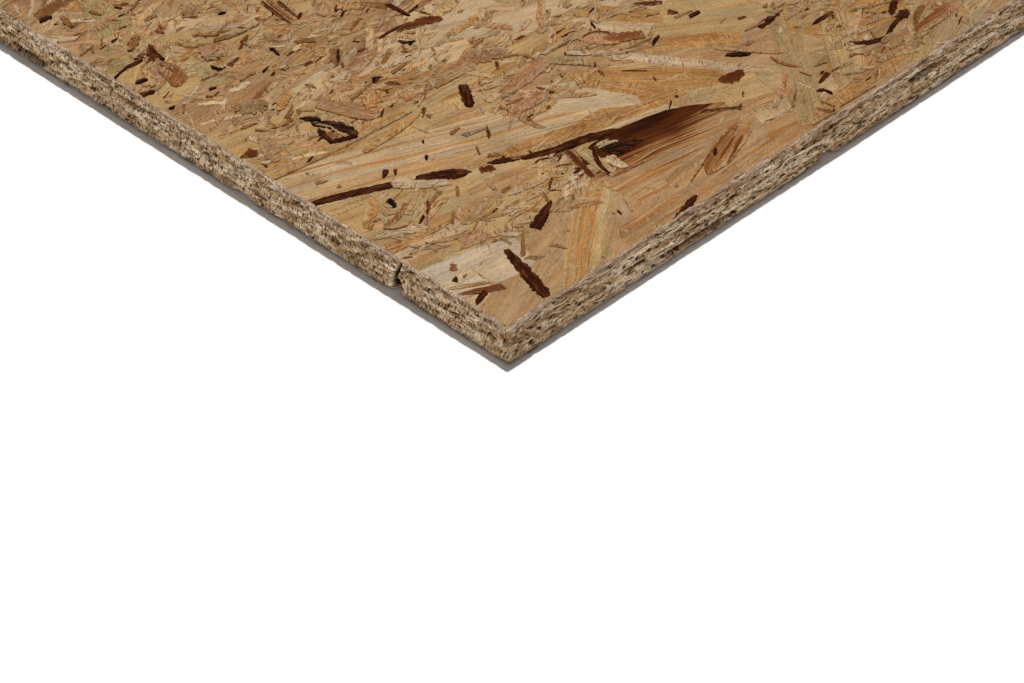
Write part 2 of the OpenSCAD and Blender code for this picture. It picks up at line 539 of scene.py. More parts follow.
chip("umber", (41, 20.8), (43, 15.8), 1.8, tip=0.7, bow=0.5)
chip("umber", (30, 23), (39.5, 33), 1.8, tip=0.7)
chip("pink", (74, 14), (78, 23), 1.4, tip=0.8)
sliver("bark", (69.8, 15.3), (70.3, 17.8), 0.9, tip=0.6)
chip("gold", (-2, 57.3), (28, 55), 1.7, tip=0.5, rag=0.3)
chip("gold", (17, 84), (4, 73), 5, tip=0.2, rag=0.6)
chip("pink", (13, 76), (19, 73), 4, tip=0.3, rag=0.7)
chip("cream", (3, 67.5), (19, 59), 3.4, tip=0.2, rag=0.6, shade=1.05)
chip("cream", (7, 55.5), (27.5, 48.4), 3.5, tip=0.3, rag=0.6, shade=1.05)
chip("umber", (40.6, 40.7), (49, 39.6), 0.8, tip=0.5)
chip("umber", (26.3, 54.8), (30, 57.4), 1.6, tip=0.7)
chip("heart", (7.2, 69), (16.4, 64.2), 1.2, tip=0.6, bow=-1.6)
chip("bark", (18.3, 62), (22.4, 64.2), 1.6, tip=0.6, rag=0.4)
chip("heart", (23, 63.4), (28.8, 68.4), 1.9, tip=0.6, rag=0.5)
chip("umber", (28, 67.6), (35.5, 70), 1.8, tip=0.7, rag=0.4)
sliver("grey", (11, 45.6), (12.4, 48.6), 1.2, tip=0.6)
chip("pink", (19, 43), (31, 42), 6, tip=0.4, rag=0.8)
chip("umber", (34.5, 48.4), (39, 48), 1.8, tip=0.6)
sliver("heart", (39.4, 47.6), (41.8, 48.4), 1.4, tip=0.6)
chip("umber", (50, 53.8), (53.6, 54), 1.3, tip=0.4)
chip("pale", (50, 51), (66, 47.5), 1.8, tip=0.9)
chip("heart", (62, 43), (67.6, 47), 1.3, tip=0.5)
chip("bark", (74.8, 43.2), (78.4, 43), 1.8, tip=0.6)
chip("pale", (75, 41.4), (79, 41.8), 1.4, tip=0.7)
torn("heart", (82, 54), (77.6, 37), 2.5, tip=0.3, rag=0.4)
broad("straw", (86, 53), (83.4, 32), 5, tip=0.5)
chip("pale", (88.5, 41), (89.6, 32.5), 4.2, tip=0.5, rag=0.5)
chip("umber", (83.4, 32), (96, 30.2), 0.9, tip=0.5)
torn("bark", (82.8, 33.8), (92.5, 50), 1.9, tip=0.4, bow=2.4)
torn("soot", (91, 45.6), (99.5, 41), 4.6, tip=0.9, rag=1.0)
torn("soot", (95.5, 42.4), (104, 39.6), 3.0, tip=0.9, rag=1.0)
torn("soot", (91.6, 42.8), (98, 39.4), 4.2, tip=0.6, rag=1.3)
chip("pale", (91, 47), (98.6, 45), 1.6, tip=0.6, bow=0.8)
chip("straw", (90.6, 48.8), (96.6, 48), 1.6, tip=0.8)
torn("heart", (130.5, 36), (142, 27.4), 1.5, tip=0.2, wedge=-0.3)
chip("heart", (140.4, 26.4), (143.6, 28.6), 1.6, tip=0.6)
torn("bark", (78, -2), (95, 3.6), 3, tip=0.4, rag=0.7)
sliver("grey", (93.6, 11.6), (95.4, 13.6), 1.5, tip=0.4)
print(len(hand_laid.rows), "strands in the deck so far")

# %% [markdown]
# A strip of bark once ran under the long cream strand. The press broke it, so it shows as a
# dark streak with gaps, and a flat cream chip lies across it.

# %% Broken streak of bark
torn("bark", (-2, 98), (27, 84.6), 3.3, rag=0.4, tip=0.3, bow=0.5)
sliver("grey", (26, 83.4), (28.4, 79.6), 0.9, tip=0.6)
broad("cream", (27, 85.6), (41.5, 72.5), 7.5, figure=0.2, tip=0.3, shade=1.04)
torn("bark", (34.6, 81.4), (50.6, 70), 5, rag=0.4, tip=0.75, wedge=0.3)
torn("heart", (53.2, 68.6), (57.8, 66), 3.6, rag=0.9, tip=0.3)
chip("umber", (61, 72.4), (64.4, 70.2), 2.2, tip=0.5)
torn("bark", (58, 69.2), (67, 64), 2.4, rag=0.5, tip=0.6)
chip("umber", (65, 65.6), (73, 60.6), 2.2, tip=0.4, rag=0.6)
sliver("bark", (71.4, 60), (72.6, 63), 1.4, tip=0.5)
torn("bark", (68, 62.6), (86, 54.8), 2.8, rag=0.4, tip=0.5)
torn("bark", (80, 57.4), (104, 49.6), 3.8, rag=0.5, tip=0.7, bow=0.3)
chip("soot", (27, 89.8), (30.4, 92.2), 1.9, tip=0.5)
sliver("soot", (31.6, 88.6), (33.4, 90.4), 1.6, tip=0.4)
sliver("soot", (44.8, 87), (46.4, 88.2), 1.6, tip=0.4)
sliver("bark", (50.6, 94.6), (51.4, 95.4), 1.0)
sliver("grey", (13, 97.4), (14.4, 98.4), 1.3, tip=0.4)
sliver("grey", (10.2, 111), (11, 110), 1.1)
chip("umber", (8.6, 105), (12, 103.6), 2.6, tip=0.6, shade=1.15)
sliver("bark", (15, 115.8), (18.2, 116.8), 1.0, tip=0.6)
torn("soot", (20, 79.6), (18, 74.2), 2.4, rag=0.9, tip=0.3)
sliver("pale", (16.6, 78.6), (17.6, 75.4), 1.6, tip=0.5)
sliver("grey", (36, 75), (35.4, 72.4), 1.2, tip=0.4)
chip("grey", (6.6, 75), (10.4, 73.6), 1.1, tip=0.7)
chip("heart", (69, 79.8), (72.6, 85.2), 1.8, tip=0.5)
chip("grey", (62.6, 87), (71.4, 84.6), 2.2, tip=0.4, rag=0.6)
chip("umber", (60.4, 91), (64.8, 91.4), 1.9, tip=0.6)
sliver("umber", (59.4, 75), (61.6, 78.8), 1.0, tip=0.6)
print(len(hand_laid.rows), "strands in the deck so far")

# %% [markdown]
# Further out the mat is mixed: curls of bark, pinkish chips and brown splinters lie on pale
# wood. The same words lay them, only the places differ.

# %% Bark and chips along the front side
torn("tan", (106, 9), (137, 19.5), 9, figure=1.0, rag=0.5, tip=0.7, heart=0.45)
chip("heart", (99, 10.2), (120, 18.2), 1.0, tip=0.9, shade=1.5)
chip("heart", (110, 9.6), (129, 17.4), 1.7, tip=0.9, rag=0.4, shade=1.4)
chip("heart", (115, 8), (131, 15.6), 1.9, tip=0.9, rag=0.4, shade=1.4)
chip("bark", (115.6, 14.6), (118.6, 17), 1.7, tip=0.6)
chip("umber", (129.6, 19.6), (133, 20.2), 2.4, tip=0.4, rag=0.5)
sliver("heart", (132.8, 59.8), (133.4, 62.2), 1.1, tip=0.4)
sliver("bark", (130.8, 48.2), (131.8, 49), 1.1)
torn("heart", (147.6, 43.4), (158, 41.4), 5.4, rag=0.5, tip=0.8, bow=-0.8)
torn("soot", (160.8, 52.6), (167, 46.6), 2.3, tip=0.6, rag=0.3)
chip("tan", (161, 58), (175, 39), 1.8, tip=0.4)
torn("umber", (170.6, 40), (174, 28), 1.3, tip=0.5, bow=-1.2)
sliver("umber", (171.4, 27), (172.4, 22), 1.0, tip=0.6)
sliver("heart", (147, 30.8), (149.4, 33.4), 0.8, tip=0.6)
chip("pink", (150, 18.4), (168, 29.4), 2.6, tip=0.7, figure=0.8)
chip("grey", (155, 14), (161.4, 19), 1.6, tip=0.6, rag=0.5)
sliver("heart", (158.6, 17), (162, 19.4), 1.0, tip=0.5)
sliver("bark", (167.2, 13.8), (169.8, 13.2), 2.0, tip=0.5)
chip("bark", (169.4, 14), (170, 9.2), 1.1, tip=0.4)
chip("bark", (171.4, 16.8), (178, 18.6), 2.0, tip=0.4, rag=0.3)
sliver("bark", (175.4, 20), (176.8, 20.4), 0.9)
chip("heart", (179, 18.4), (183.4, 18), 1.1, tip=0.6)
chip("umber", (178, 24.6), (182.4, 23), 0.8, tip=0.5, bow=0.4)
chip("umber", (190, 19.6), (194, 17.6), 1.2, tip=0.5, bow=0.8)
torn("bark", (196.8, 25), (208, 18.4), 2.1, tip=0.3, bow=-1.8, rag=0.4)
chip("pale", (201, 22), (205, 23.4), 3.0, tip=0.6)
chip("umber", (204.8, 20), (206.8, 25.2), 0.8, tip=0.6)
torn("bark", (209, 18.4), (221.4, 22.6), 1.7, tip=0.4, bow=0.6, rag=0.4)
torn("bark", (219.4, 22.4), (225.4, 23.6), 4.2, tip=0.6, rag=0.8)
torn("bark", (219.4, 26), (227, 31.4), 2.8, tip=0.4, rag=0.6)
chip("grey", (204, 16.6), (211, 18), 2.6, tip=0.6, rag=0.7)
sliver("umber", (206.8, 10.4), (208.4, 12.6), 0.9, tip=0.4)
sliver("heart", (209.6, 12.4), (210.8, 11.2), 1.2)
torn("bark", (195.6, 42.8), (206, 42.4), 1.9, tip=0.6)
chip("heart", (204.6, 42), (202.6, 37.8), 1.3, tip=0.4)
chip("pink", (196, 36.4), (203.6, 39), 2.2, tip=0.6, rag=0.5)
sliver("heart", (200, 35.4), (202.2, 34.4), 1.3)
torn("bark", (180.4, 55.4), (189.4, 56.4), 3.1, tip=0.5, rag=0.5)
chip("umber", (175.6, 57.8), (184.6, 56.4), 1.2, tip=0.5)
sliver("grey", (169.8, 51.4), (172.6, 51.8), 2.0, tip=0.5)
sliver("heart", (179.8, 64.6), (182, 63.6), 1.2, tip=0.4)
sliver("umber", (191.4, 62.6), (193.6, 63.6), 1.4, tip=0.4)
chip("grey", (210, 39), (225, 31.4), 1.1, tip=0.5)
sliver("umber", (214.2, 33.8), (216, 30.4), 1.1, tip=0.4)
torn("pink", (218, 12), (244, 14), 6, rag=0.6, tip=0.7, figure=1.0, heart=0.5)
chip("umber", (151.6, 1.4), (164, 0.9), 0.45, tip=0.6)
chip("umber", (166, 1.8), (184, 1.2), 0.5, tip=0.6)
sliver("bark", (162.6, 1.8), (163.4, 2.2), 0.8)
chip("umber", (164, 8.6), (165.2, 3.4), 0.9, tip=0.6)
print(len(hand_laid.rows), "strands in the deck so far")

# %% [markdown]
# Above the long cream strand the mat is a mix of everything: curled bark, a torn knot with a
# black rim, and pinkish chips that show the wood from its other side.

# %% Bark and chips of the middle field
torn("bark", (76.4, 97.4), (83.6, 108.8), 3.9, tip=0.35, rag=0.4)
chip("umber", (87.8, 103.8), (90, 106.6), 1.8, tip=0.6)
sliver("pale", (89.6, 104.8), (91.8, 102.6), 1.8, tip=0.5)
sliver("heart", (99, 106.6), (101.2, 109.6), 1.6, tip=0.4)
sliver("umber", (96.8, 101), (98.8, 103.2), 0.8, tip=0.5)
torn("pink", (94.6, 119.6), (103, 114), 7.4, rag=0.7, tip=0.5, shade=0.82)
torn("pink", (101.4, 117.4), (108, 109.6), 6.2, rag=0.6, tip=0.6, shade=0.7)
torn("umber", (107.6, 108.8), (111.4, 101.2), 1.2, bow=1.4, tip=0.3)
chip("umber", (101, 121.8), (107.4, 123), 1.0, tip=0.6)
broad("tan", (76, 117), (95.4, 115.6), 6.4, figure=0.9, shade=0.95)
torn("pink", (91, 94.4), (117, 98), 7.4, tip=0.6, shade=1.0, rag=0.4)
torn("pink", (84, 84), (103, 83.6), 6, tip=0.5, shade=0.98)
chip("grey", (87, 92.6), (95.6, 92), 1.3, tip=0.7)
chip("umber", (86.6, 88.4), (94.4, 86.6), 1.8, tip=0.6, rag=0.5)
sliver("pale", (93, 87), (96.6, 85.4), 1.2, tip=0.6)
sliver("pale", (97, 87.8), (100, 85), 1.2, tip=0.6)
sliver("heart", (100.4, 88.4), (101.4, 85), 1.3, tip=0.4)
sliver("heart", (101, 82.8), (103.4, 81.6), 2.2, tip=0.4)
chip("umber", (83.8, 83.6), (91, 80.8), 0.9, tip=0.6)
chip("grey", (83.4, 90), (84.6, 85.4), 1.5, tip=0.6)
sliver("bark", (106.2, 87.2), (107.2, 87), 0.9)
broad("green", (115, 97), (124, 86), 5, figure=0.5)
chip("grey", (118, 92), (124, 87.6), 1.6, tip=0.6)
chip("pale", (122, 95.6), (128, 88), 2.4, tip=0.6)
sliver("bark", (121.2, 94.6), (122.2, 95.6), 1.0)
chip("umber", (119.6, 100.2), (129.4, 99.6), 1.2, tip=0.6)
torn("pink", (132, 98.6), (141, 86.6), 6.6, rag=0.5, tip=0.5)
torn("heart", (131, 97), (141.6, 91.8), 1.4, bow=2.8, tip=0.5)
torn("umber", (137, 92), (149, 83), 5, tip=0.6, rag=0.5, figure=0.9)
sliver("bark", (140.2, 98.8), (141.2, 101.6), 0.9, tip=0.4)
sliver("heart", (122.2, 76), (122.8, 79.4), 1.1, tip=0.4)
sliver("heart", (136.6, 79), (137.8, 79.8), 1.2)
sliver("heart", (134.6, 117.8), (135.6, 118.4), 1.0)
torn("soot", (146.6, 75.6), (152.8, 78.2), 1.3, tip=0.8, bow=0.4)
chip("bark", (168, 78.4), (173.2, 78), 2.1, tip=0.4, rag=0.4)
chip("grey", (164.4, 81.8), (171.4, 80.4), 1.1, tip=0.6)
chip("heart", (164.8, 86.4), (167.6, 83), 2.3, tip=0.4)
chip("umber", (158, 90.2), (162.4, 87.8), 1.0, tip=0.5)
chip("heart", (160, 98.6), (168, 91.6), 2.4, tip=0.5)
broad("gold", (33, 105.6), (63, 108), 3.8, tip=0.7)
chip("heart", (61, 105.6), (65, 109.2), 1.6, tip=0.7)
sliver("umber", (62, 105), (63.4, 103), 1.8, tip=0.4)
torn("gold", (50, 124), (61.4, 127.2), 5.6, tip=0.4, rag=0.8)
sliver("heart", (66, 129.4), (68.4, 126), 1.7, tip=0.5)
sliver("heart", (60.6, 129), (62.4, 125), 1.2, tip=0.5)
torn("pink", (40.6, 139), (49, 117), 6.6, tip=0.3, figure=0.7)
chip("grey", (75, 117.4), (78.6, 115.4), 1.6, tip=0.4, rag=0.6)
sliver("pale", (75.6, 115.8), (77, 118.6), 0.9, tip=0.6)
chip("pale", (63.6, 111), (70, 114.4), 1.0, tip=0.6)
broad("green", (-4, 117.6), (60, 110.6), 0.9, tip=0.5, bow=-0.8, shade=0.8)
torn("soot", (30.6, 136), (34.8, 131), 2.4, tip=0.7, rag=0.6)
torn("soot", (31, 130.6), (37, 114.2), 3.9, tip=0.5, bow=2.6, rag=0.8)
torn("bark", (30, 127), (28.8, 117.6), 2.6, tip=0.4, rag=0.7)
torn("bark", (28.6, 117.8), (37.4, 114.2), 2.0, tip=0.4, rag=0.6)
torn("umber", (29.6, 120.6), (33.4, 121.2), 4.4, tip=0.4, rag=0.4)
sliver("straw", (34, 124), (33.8, 117), 0.9, tip=0.5)
sliver("grey", (32, 129.4), (34.6, 124), 1.5, tip=0.5)
sliver("bark", (25.6, 122.2), (30, 122.8), 1.0, tip=0.8)
print(len(hand_laid.rows), "strands in the deck so far")

# %% [markdown]
# Along the left end the strands are small and much broken. Here it is mostly splinters, with a
# few flat chips of grey bark between them.

# %% Bark and chips along the left end
torn("heart", (2.4, 132.8), (6.4, 135), 4.2, rag=0.7, tip=0.3)
torn("pale", (3.2, 127.6), (7, 126), 1.7, bow=-1, tip=0.5)
torn("pink", (7.6, 124), (13.6, 137), 6, tip=0.4)
sliver("grey", (15, 143), (16, 141), 1.5)
chip("gold", (19.6, 139.2), (28, 138), 1.5, tip=0.5)
chip("umber", (24, 137.2), (28.6, 139.4), 1.6, tip=0.5, rag=0.5)
chip("grey", (27, 139.8), (32, 141.6), 0.8, tip=0.6)
sliver("umber", (31.8, 138.6), (33.6, 141), 2.0, tip=0.5)
torn("grey", (18.6, 157), (27, 150.4), 7, rag=1.2, tip=0.5)
sliver("heart", (25.6, 152.4), (26.6, 149), 1.4, tip=0.5)
sliver("grey", (12, 150.2), (13.6, 154), 1.5, tip=0.5)
torn("gold", (28, 145.4), (37.6, 150.6), 3.2, rag=0.7, tip=0.5)
chip("umber", (11.6, 147.8), (17.4, 145.8), 1.5, tip=0.7)
sliver("umber", (45.6, 149.4), (46.4, 146), 1.6, tip=0.5)
torn("umber", (60.8, 150.8), (67.6, 158.8), 4, figure=1.0, rag=0.6, tip=0.5)
chip("bark", (62, 151), (67, 156.4), 1.4, tip=0.6)
sliver("heart", (61, 147), (62.6, 149.6), 1.4, tip=0.5)
sliver("heart", (71, 150.8), (74, 150), 1.5, tip=0.5)
torn("bark", (82, 150.8), (97, 149.4), 1.1, bow=0.8, tip=0.4)
torn("heart", (90, 149.4), (107, 143), 4.4, tip=0.7, wedge=0.3, bow=1.0, rag=0.5)
sliver("pale", (86, 144.6), (89, 141), 1.6, tip=0.4)
torn("soot", (86, 144.8), (89.6, 140.4), 1.2, bow=-0.9, tip=0.4)
sliver("soot", (86.4, 139.8), (89.4, 140.6), 1.2, tip=0.5)
sliver("grey", (91.2, 146.2), (93.6, 143.8), 1.6, tip=0.4)
chip("umber", (83, 137.4), (85.4, 142.2), 1.1, tip=0.6)
torn("bark", (98.4, 164.2), (99.2, 153.2), 1.8, tip=0.3, wedge=-0.3)
chip("bark", (100.4, 154.6), (106, 155.4), 0.9, tip=0.6)
chip("umber", (60, 171.4), (66, 167.2), 2.8, tip=0.4, rag=0.5)
chip("heart", (52.6, 158.8), (56.6, 158), 1.8, tip=0.5)
torn("soot", (62.4, 132.8), (65.2, 134.2), 2.4, rag=0.6, tip=0.2)
chip("umber", (50, 131.2), (62, 133.4), 1.5, tip=0.6, rag=0.5)
chip("umber", (71, 132.4), (79, 133), 1.5, tip=0.3)
sliver("soot", (39.6, 166.6), (43.2, 167.6), 1.0, tip=0.7)
chip("umber", (30, 168.4), (37.6, 168.2), 1.1, tip=0.5, bow=0.4)
chip("soot", (50.4, 169.8), (51.4, 175), 1.3, tip=0.4)
torn("heart", (43.8, 183.4), (50.4, 186.6), 1.5, bow=0.6, tip=0.4)
chip("grey", (53.8, 179), (56, 184), 1.5, tip=0.5)
sliver("grey", (46.6, 181), (47, 185), 0.9, tip=0.4)
sliver("soot", (28.8, 182.2), (30.2, 179), 1.6, tip=0.4)
chip("heart", (34, 178.4), (39, 179.4), 1.8, tip=0.5, rag=0.5)
torn("grey", (31, 188.4), (35.4, 184), 3.2, rag=0.9, tip=0.5)
sliver("soot", (33.6, 185), (35, 183.4), 1.2, tip=0.4)
chip("heart", (66.2, 181.8), (68, 199), 1.7, tip=0.5, rag=0.3)
chip("umber", (68.2, 182), (70.4, 198), 1.6, tip=0.5, rag=0.3)
chip("heart", (70.6, 181.6), (72.2, 194), 1.5, tip=0.5, rag=0.3)
sliver("bark", (70.4, 181.6), (73.4, 183), 1.4, tip=0.4)
torn("umber", (12, 184), (19.6, 188.4), 6, tip=0.5, figure=1.0, rag=0.7)
chip("heart", (12.4, 182.8), (18.6, 184), 0.9, tip=0.5)
sliver("soot", (2.2, 174.2), (4, 174.8), 1.8, tip=0.3)
sliver("soot", (19.6, 172.8), (22.6, 171.8), 1.1, tip=0.4)
sliver("heart", (16, 170.4), (17.4, 168.4), 1.5, tip=0.4)
chip("umber", (3.6, 168.8), (7.4, 172.8), 1.1, tip=0.6)
torn("bark", (-1, 188.6), (5.4, 186.6), 2.2, rag=0.8, tip=0.4)
sliver("bark", (82.8, 175), (84.4, 176), 1.8, tip=0.3)
chip("grey", (76.6, 179.2), (78, 175.4), 1.4, tip=0.5)
torn("gold", (85, 176), (91, 170), 4, rag=0.8, tip=0.5)
torn("soot", (4.4, 249.4), (9.4, 248.4), 2.2, rag=0.7, tip=0.3)
torn("umber", (12, 246), (10.4, 239), 2.4, tip=0.4, rag=0.6)
chip("cream", (-1, 237.4), (7.4, 230.6), 2.6, tip=0.4)
chip("bark", (-2, 201.8), (8, 204.6), 0.9, tip=0.3, bow=0.4)
chip("bark", (7, 204.6), (14.6, 204), 1.6, tip=0.6, rag=0.5)
torn("heart", (17, 200.6), (22.6, 208.6), 3, rag=1.2, tip=0.4)
torn("bark", (20, 198), (20.8, 207), 1.4, rag=0.6, tip=0.4)
torn("umber", (16, 211.6), (23, 216.4), 3, rag=1.2, tip=0.5)
torn("soot", (3.6, 194.8), (8, 194.2), 1.9, rag=0.8, tip=0.5)
sliver("heart", (5, 184.8), (6, 184), 1.3)
sliver("bark", (14, 220.4), (17.4, 220.2), 1.1, tip=0.4)
chip("grey", (10.6, 221.8), (14.6, 226), 0.9, tip=0.5)
chip("grey", (0.6, 222.4), (8, 223.4), 0.9, tip=0.6)
sliver("umber", (5, 219.6), (7, 223), 0.9, tip=0.5)
torn("pink", (31, 190), (38.6, 191), 6, rag=0.9, tip=0.3, shade=0.95)
torn("umber", (38.4, 201.2), (43.6, 195.4), 1.1, bow=-0.6, tip=0.4)
torn("umber", (40, 193.8), (47, 191.2), 2.1, tip=0.5, rag=0.5)
chip("pink", (44, 191.2), (59, 189.6), 1.6, tip=0.6)
sliver("grey", (52.4, 193.8), (53.2, 190.8), 1.5, tip=0.4)
sliver("soot", (52.4, 205), (54.2, 203.4), 1.4, tip=0.3)
torn("pink", (42, 212.6), (50, 212), 5, rag=0.9, tip=0.6, shade=0.85)
chip("umber", (31, 221.4), (35.8, 220.8), 1.8, tip=0.5)
sliver("umber", (31.8, 213), (33.6, 217), 1.3, tip=0.4)
chip("heart", (29.2, 214), (31, 209.8), 1.0, tip=0.4)
torn("umber", (30.2, 202.4), (33.6, 195), 1.1, bow=-1.0, tip=0.4)
sliver("bark", (29.2, 235.4), (30, 233.2), 0.9)
sliver("umber", (31.6, 236), (33.2, 234), 1.8, tip=0.4)
chip("umber", (21, 240.6), (22.4, 235.6), 1.5, tip=0.5)
chip("umber", (32, 230), (37.4, 231.6), 0.9, tip=0.5, bow=0.4)
torn("umber", (18.4, 197.6), (19.4, 188.4), 2.6, rag=0.8, tip=0.4)
chip("umber", (13, 188), (15, 196), 1.2, tip=0.6)
sliver("umber", (63.4, 196.2), (65.2, 197), 1.4)
print(len(hand_laid.rows), "strands in the deck so far")

# %% [markdown]
# ## The strands that fall by chance
# The rest of the mat falls as it falls in the mill: broad strands first, mostly along the panel,
# then chips, then slivers. A fixed seed makes chance repeat itself, so every run deals the same
# mat. A dice alone would leave bare spots, so the face is a loose grid with one strand in each
# of its fields. Near the corner the chance strands stay low, under the listed ones.

# %% Strands dealt by chance
BROAD_WOODS = {"cream": 0.24, "straw": 0.28, "tan": 0.32, "gold": 0.07, "pink": 0.05,
               "umber": 0.02, "green": 0.02}
CHIP_WOODS = {"cream": 0.2, "straw": 0.18, "tan": 0.24, "gold": 0.1, "pink": 0.12,
              "umber": 0.09, "heart": 0.03, "bark": 0.02, "green": 0.02}
SLIVER_WOODS = {"pale": 0.18, "cream": 0.2, "straw": 0.16, "tan": 0.16, "umber": 0.14,
                "heart": 0.06, "bark": 0.02, "grey": 0.05, "pink": 0.03}
CORNER_REACH = 270  # along plus across, in mm: this corner belongs to the listed strands


def scatter(deck, rng, step, lengths, widths, spread, woods, levels, kind):
    """Deals one strand into each field of a loose grid over the face"""
    names, shares = list(woods), np.array(list(woods.values()))
    for i, x in enumerate(np.arange(-LENGTH / 2 - step[0], LENGTH / 2 + step[0], step[0])):
        for j, y in enumerate(np.arange(-WIDTH / 2 - step[1], WIDTH / 2 + step[1], step[1])):
            middle = (x + rng.uniform(0, 2) * step[0], y + rng.uniform(0, 2) * step[1])
            length = rng.uniform(*lengths)
            width = widths[0] + (widths[1] - widths[0]) * rng.uniform() ** 1.6
            wood = names[rng.choice(len(names), p=shares / shares.sum())]
            near = middle[0] + LENGTH / 2 + middle[1] + WIDTH / 2 < CORNER_REACH
            if near and wood in ("umber", "heart", "bark") and kind != SLIVER:
                wood = "tan"
            first, count = levels[0] if near else levels[1]  # neighbours get levels far apart
            level = first + (37 * i + 59 * j) % count + kind * 0.25 + 0.25
            deck.add(wood, middle, (length, width, STRAND), rng.normal(0, spread), level, kind,
                     bow=rng.normal(0, 0.012) * length, tip=rng.uniform(0.1, 0.8),
                     wedge=rng.normal(0, 0.12), rag=rng.uniform(0.2, 0.9),
                     heart=rng.uniform(0, 0.6) ** 3, seed=rng.uniform(0, 200),
                     shade=rng.normal(1.0, 0.1))


def chance_strands(seed, chips, slivers):
    """A face of strands; the two numbers are the grid steps of chips and slivers in mm"""
    deck, rng = Deck(), np.random.default_rng(seed)
    scatter(deck, rng, (44, 15), (60, 125), (9, 34), 0.3, BROAD_WOODS,
            ((0, 199), (0, 299)), BROAD)
    scatter(deck, rng, (chips * 1.5, chips), (12, 48), (1.6, 9), 0.6, CHIP_WOODS,
            ((90, 97), (100, 359)), CHIP)
    scatter(deck, rng, (slivers, slivers), (2, 10), (0.6, 2.2), 0.9, SLIVER_WOODS,
            ((150, 113), (300, 197)), SLIVER)
    return deck


face_deck = chance_strands(5, 12, 10.5)
face_deck.rows += hand_laid.rows
under_deck = chance_strands(8, 18, 18)
print(len(face_deck.rows), "strands on the face and", len(under_deck.rows), "underneath")

# %% [markdown]
# ## Strands from one box
# Geometry Nodes turns the deck into solid strands. Each row of the deck becomes one point that
# carries its numbers as attributes. A box with a few sections is instanced on every point, and
# the boxes are bent in one go by a formula that reads the attributes: the sides narrow to the
# tips, follow the bow, and are torn by noise. A loop in Python could do the same, but would be
# a hundred times slower on thousands of strands.

# %% Geometry tree of the strands
SECTIONS = {SLIVER: (3, 2), CHIP: (7, 2), BROAD: (10, 3), TORN: (28, 3)}


def named(tree, name, kind="FLOAT_VECTOR"):
    """Reads an attribute of the geometry"""
    node = add(tree, "GeometryNodeInputNamedAttribute", data_type=kind)
    node.inputs["Name"].default_value = name
    return Value(node.outputs["Attribute"])


def store(geometry, name, value):
    """Writes a vector attribute on every point"""
    node = step_of("GeometryNodeStoreNamedAttribute", geometry, data_type="FLOAT_VECTOR")
    node.inputs["Name"].default_value = name
    feed(node.inputs["Value"], value)
    return Value(node.outputs["Geometry"])


def boxes_on_points(tree, points):
    """One box for each point, with as many sections as its kind asks for"""
    kind = named(tree, "kind", "FLOAT")
    place = source(tree, "GeometryNodeInputPosition")
    join = add(tree, "GeometryNodeJoinGeometry")
    for number, (along, across) in SECTIONS.items():
        box = add(tree, "GeometryNodeMeshCube")
        box.inputs["Vertices X"].default_value = along
        box.inputs["Vertices Y"].default_value = across
        body = store(Value(box.outputs["Mesh"]), "place", place)
        chosen = maths("COMPARE", kind, float(number), 0.5)
        copies = step_of("GeometryNodeInstanceOnPoints", points, chosen, body)
        feed(join.inputs[0], Value(copies.outputs[0]))
    return Value(step_of("GeometryNodeRealizeInstances", Value(join.outputs[0])).outputs[0])


def strand_outline(tree, tear, split):
    """Where each point of a strand lies in the strand's own plane, in mm, and how wide it is"""
    u, v, w = parts(named(tree, "place"))
    length, width, thick = parts(named(tree, "size"))
    bow, tip, rag = parts(named(tree, "shape"))
    wedge, turn, level = parts(named(tree, "lie"))
    seed = parts(named(tree, "figure"))[2]
    end, side = u * 2, v * 2
    away = abs(end)
    lean = (noise(vector(seed * 1.7, 5.3, 0.5), 0) - 0.5) * 3 * end + 1
    narrow = (1 - tip * (away ** 3 * lean)) * (wedge * end + 1)
    along = u * length
    depth = maths("MINIMUM", width * 0.3, tear) * rag * narrow
    bumps = (noise(vector(along / 1.4, side, seed), 1) - 0.5) * 4
    half = maths("MAXIMUM", depth * bumps + width * 0.5 * narrow, 0.12)
    y = bow * (1 - end * end) + half * side
    jag = (noise(vector(y * 0.8, seed, end), 1) - 0.5) * split
    skew = (noise(vector(seed, end, 0.0), 0) - 0.5) * 2.4 * (half * side)
    x = along + away ** 5 * (jag + skew)
    z = (w - 0.5) * thick + level
    return x, y, z, turn, seed, vector(side, half, end)


def strand_tree(material):
    """Points in, solid strands out"""
    tree, given, made = new_group(
        "strands", "GeometryNodeTree",
        {"Geometry": ("NodeSocketGeometry", None), "Tear": ("NodeSocketFloat", 1.5),
         "Split Ends": ("NodeSocketFloat", 6.0)},
        {"Geometry": "NodeSocketGeometry"})
    mesh = boxes_on_points(tree, given["Geometry"])
    x, y, z, turn, seed, across = strand_outline(tree, given["Tear"], given["Split Ends"])
    reach = parts(named(tree, "size"))[0] * 0.5
    mesh = store(mesh, "across", across)
    mesh = store(mesh, "grain", vector(x + seed * 31.7, y, reach))
    middle = parts(named(tree, "centre"))
    cosine, sine = maths("COSINE", turn), maths("SINE", turn)
    east = x * cosine - y * sine
    north = x * sine + y * cosine
    place = vector(east + middle[0], north + middle[1], z)
    moved = step_of("GeometryNodeSetPosition", mesh)
    feed(moved.inputs["Position"], scaled(place, MM))
    real = step_of("GeometryNodeRealizeInstances", Value(moved.outputs[0]))
    dressed = step_of("GeometryNodeSetMaterial", Value(real.outputs[0]))
    dressed.inputs["Material"].default_value = material
    feed(made["Geometry"], Value(dressed.outputs[0]))
    return tree


print("sections along and across a strand, by kind:", SECTIONS)

# %% [markdown]
# ## The pressed mat
# The press rubs the strands into one another: their rims are soft, and slits and slivers as
# thin as a hair run over the whole face, each little patch in its own direction. The slits are
# painted shade, dark as the shade inside a hairline crack. The group reads the place on the face
# in millimetres. A Voronoi texture deals a direction to every patch, the place is turned by it,
# and a noise stretched that way gives the slits.

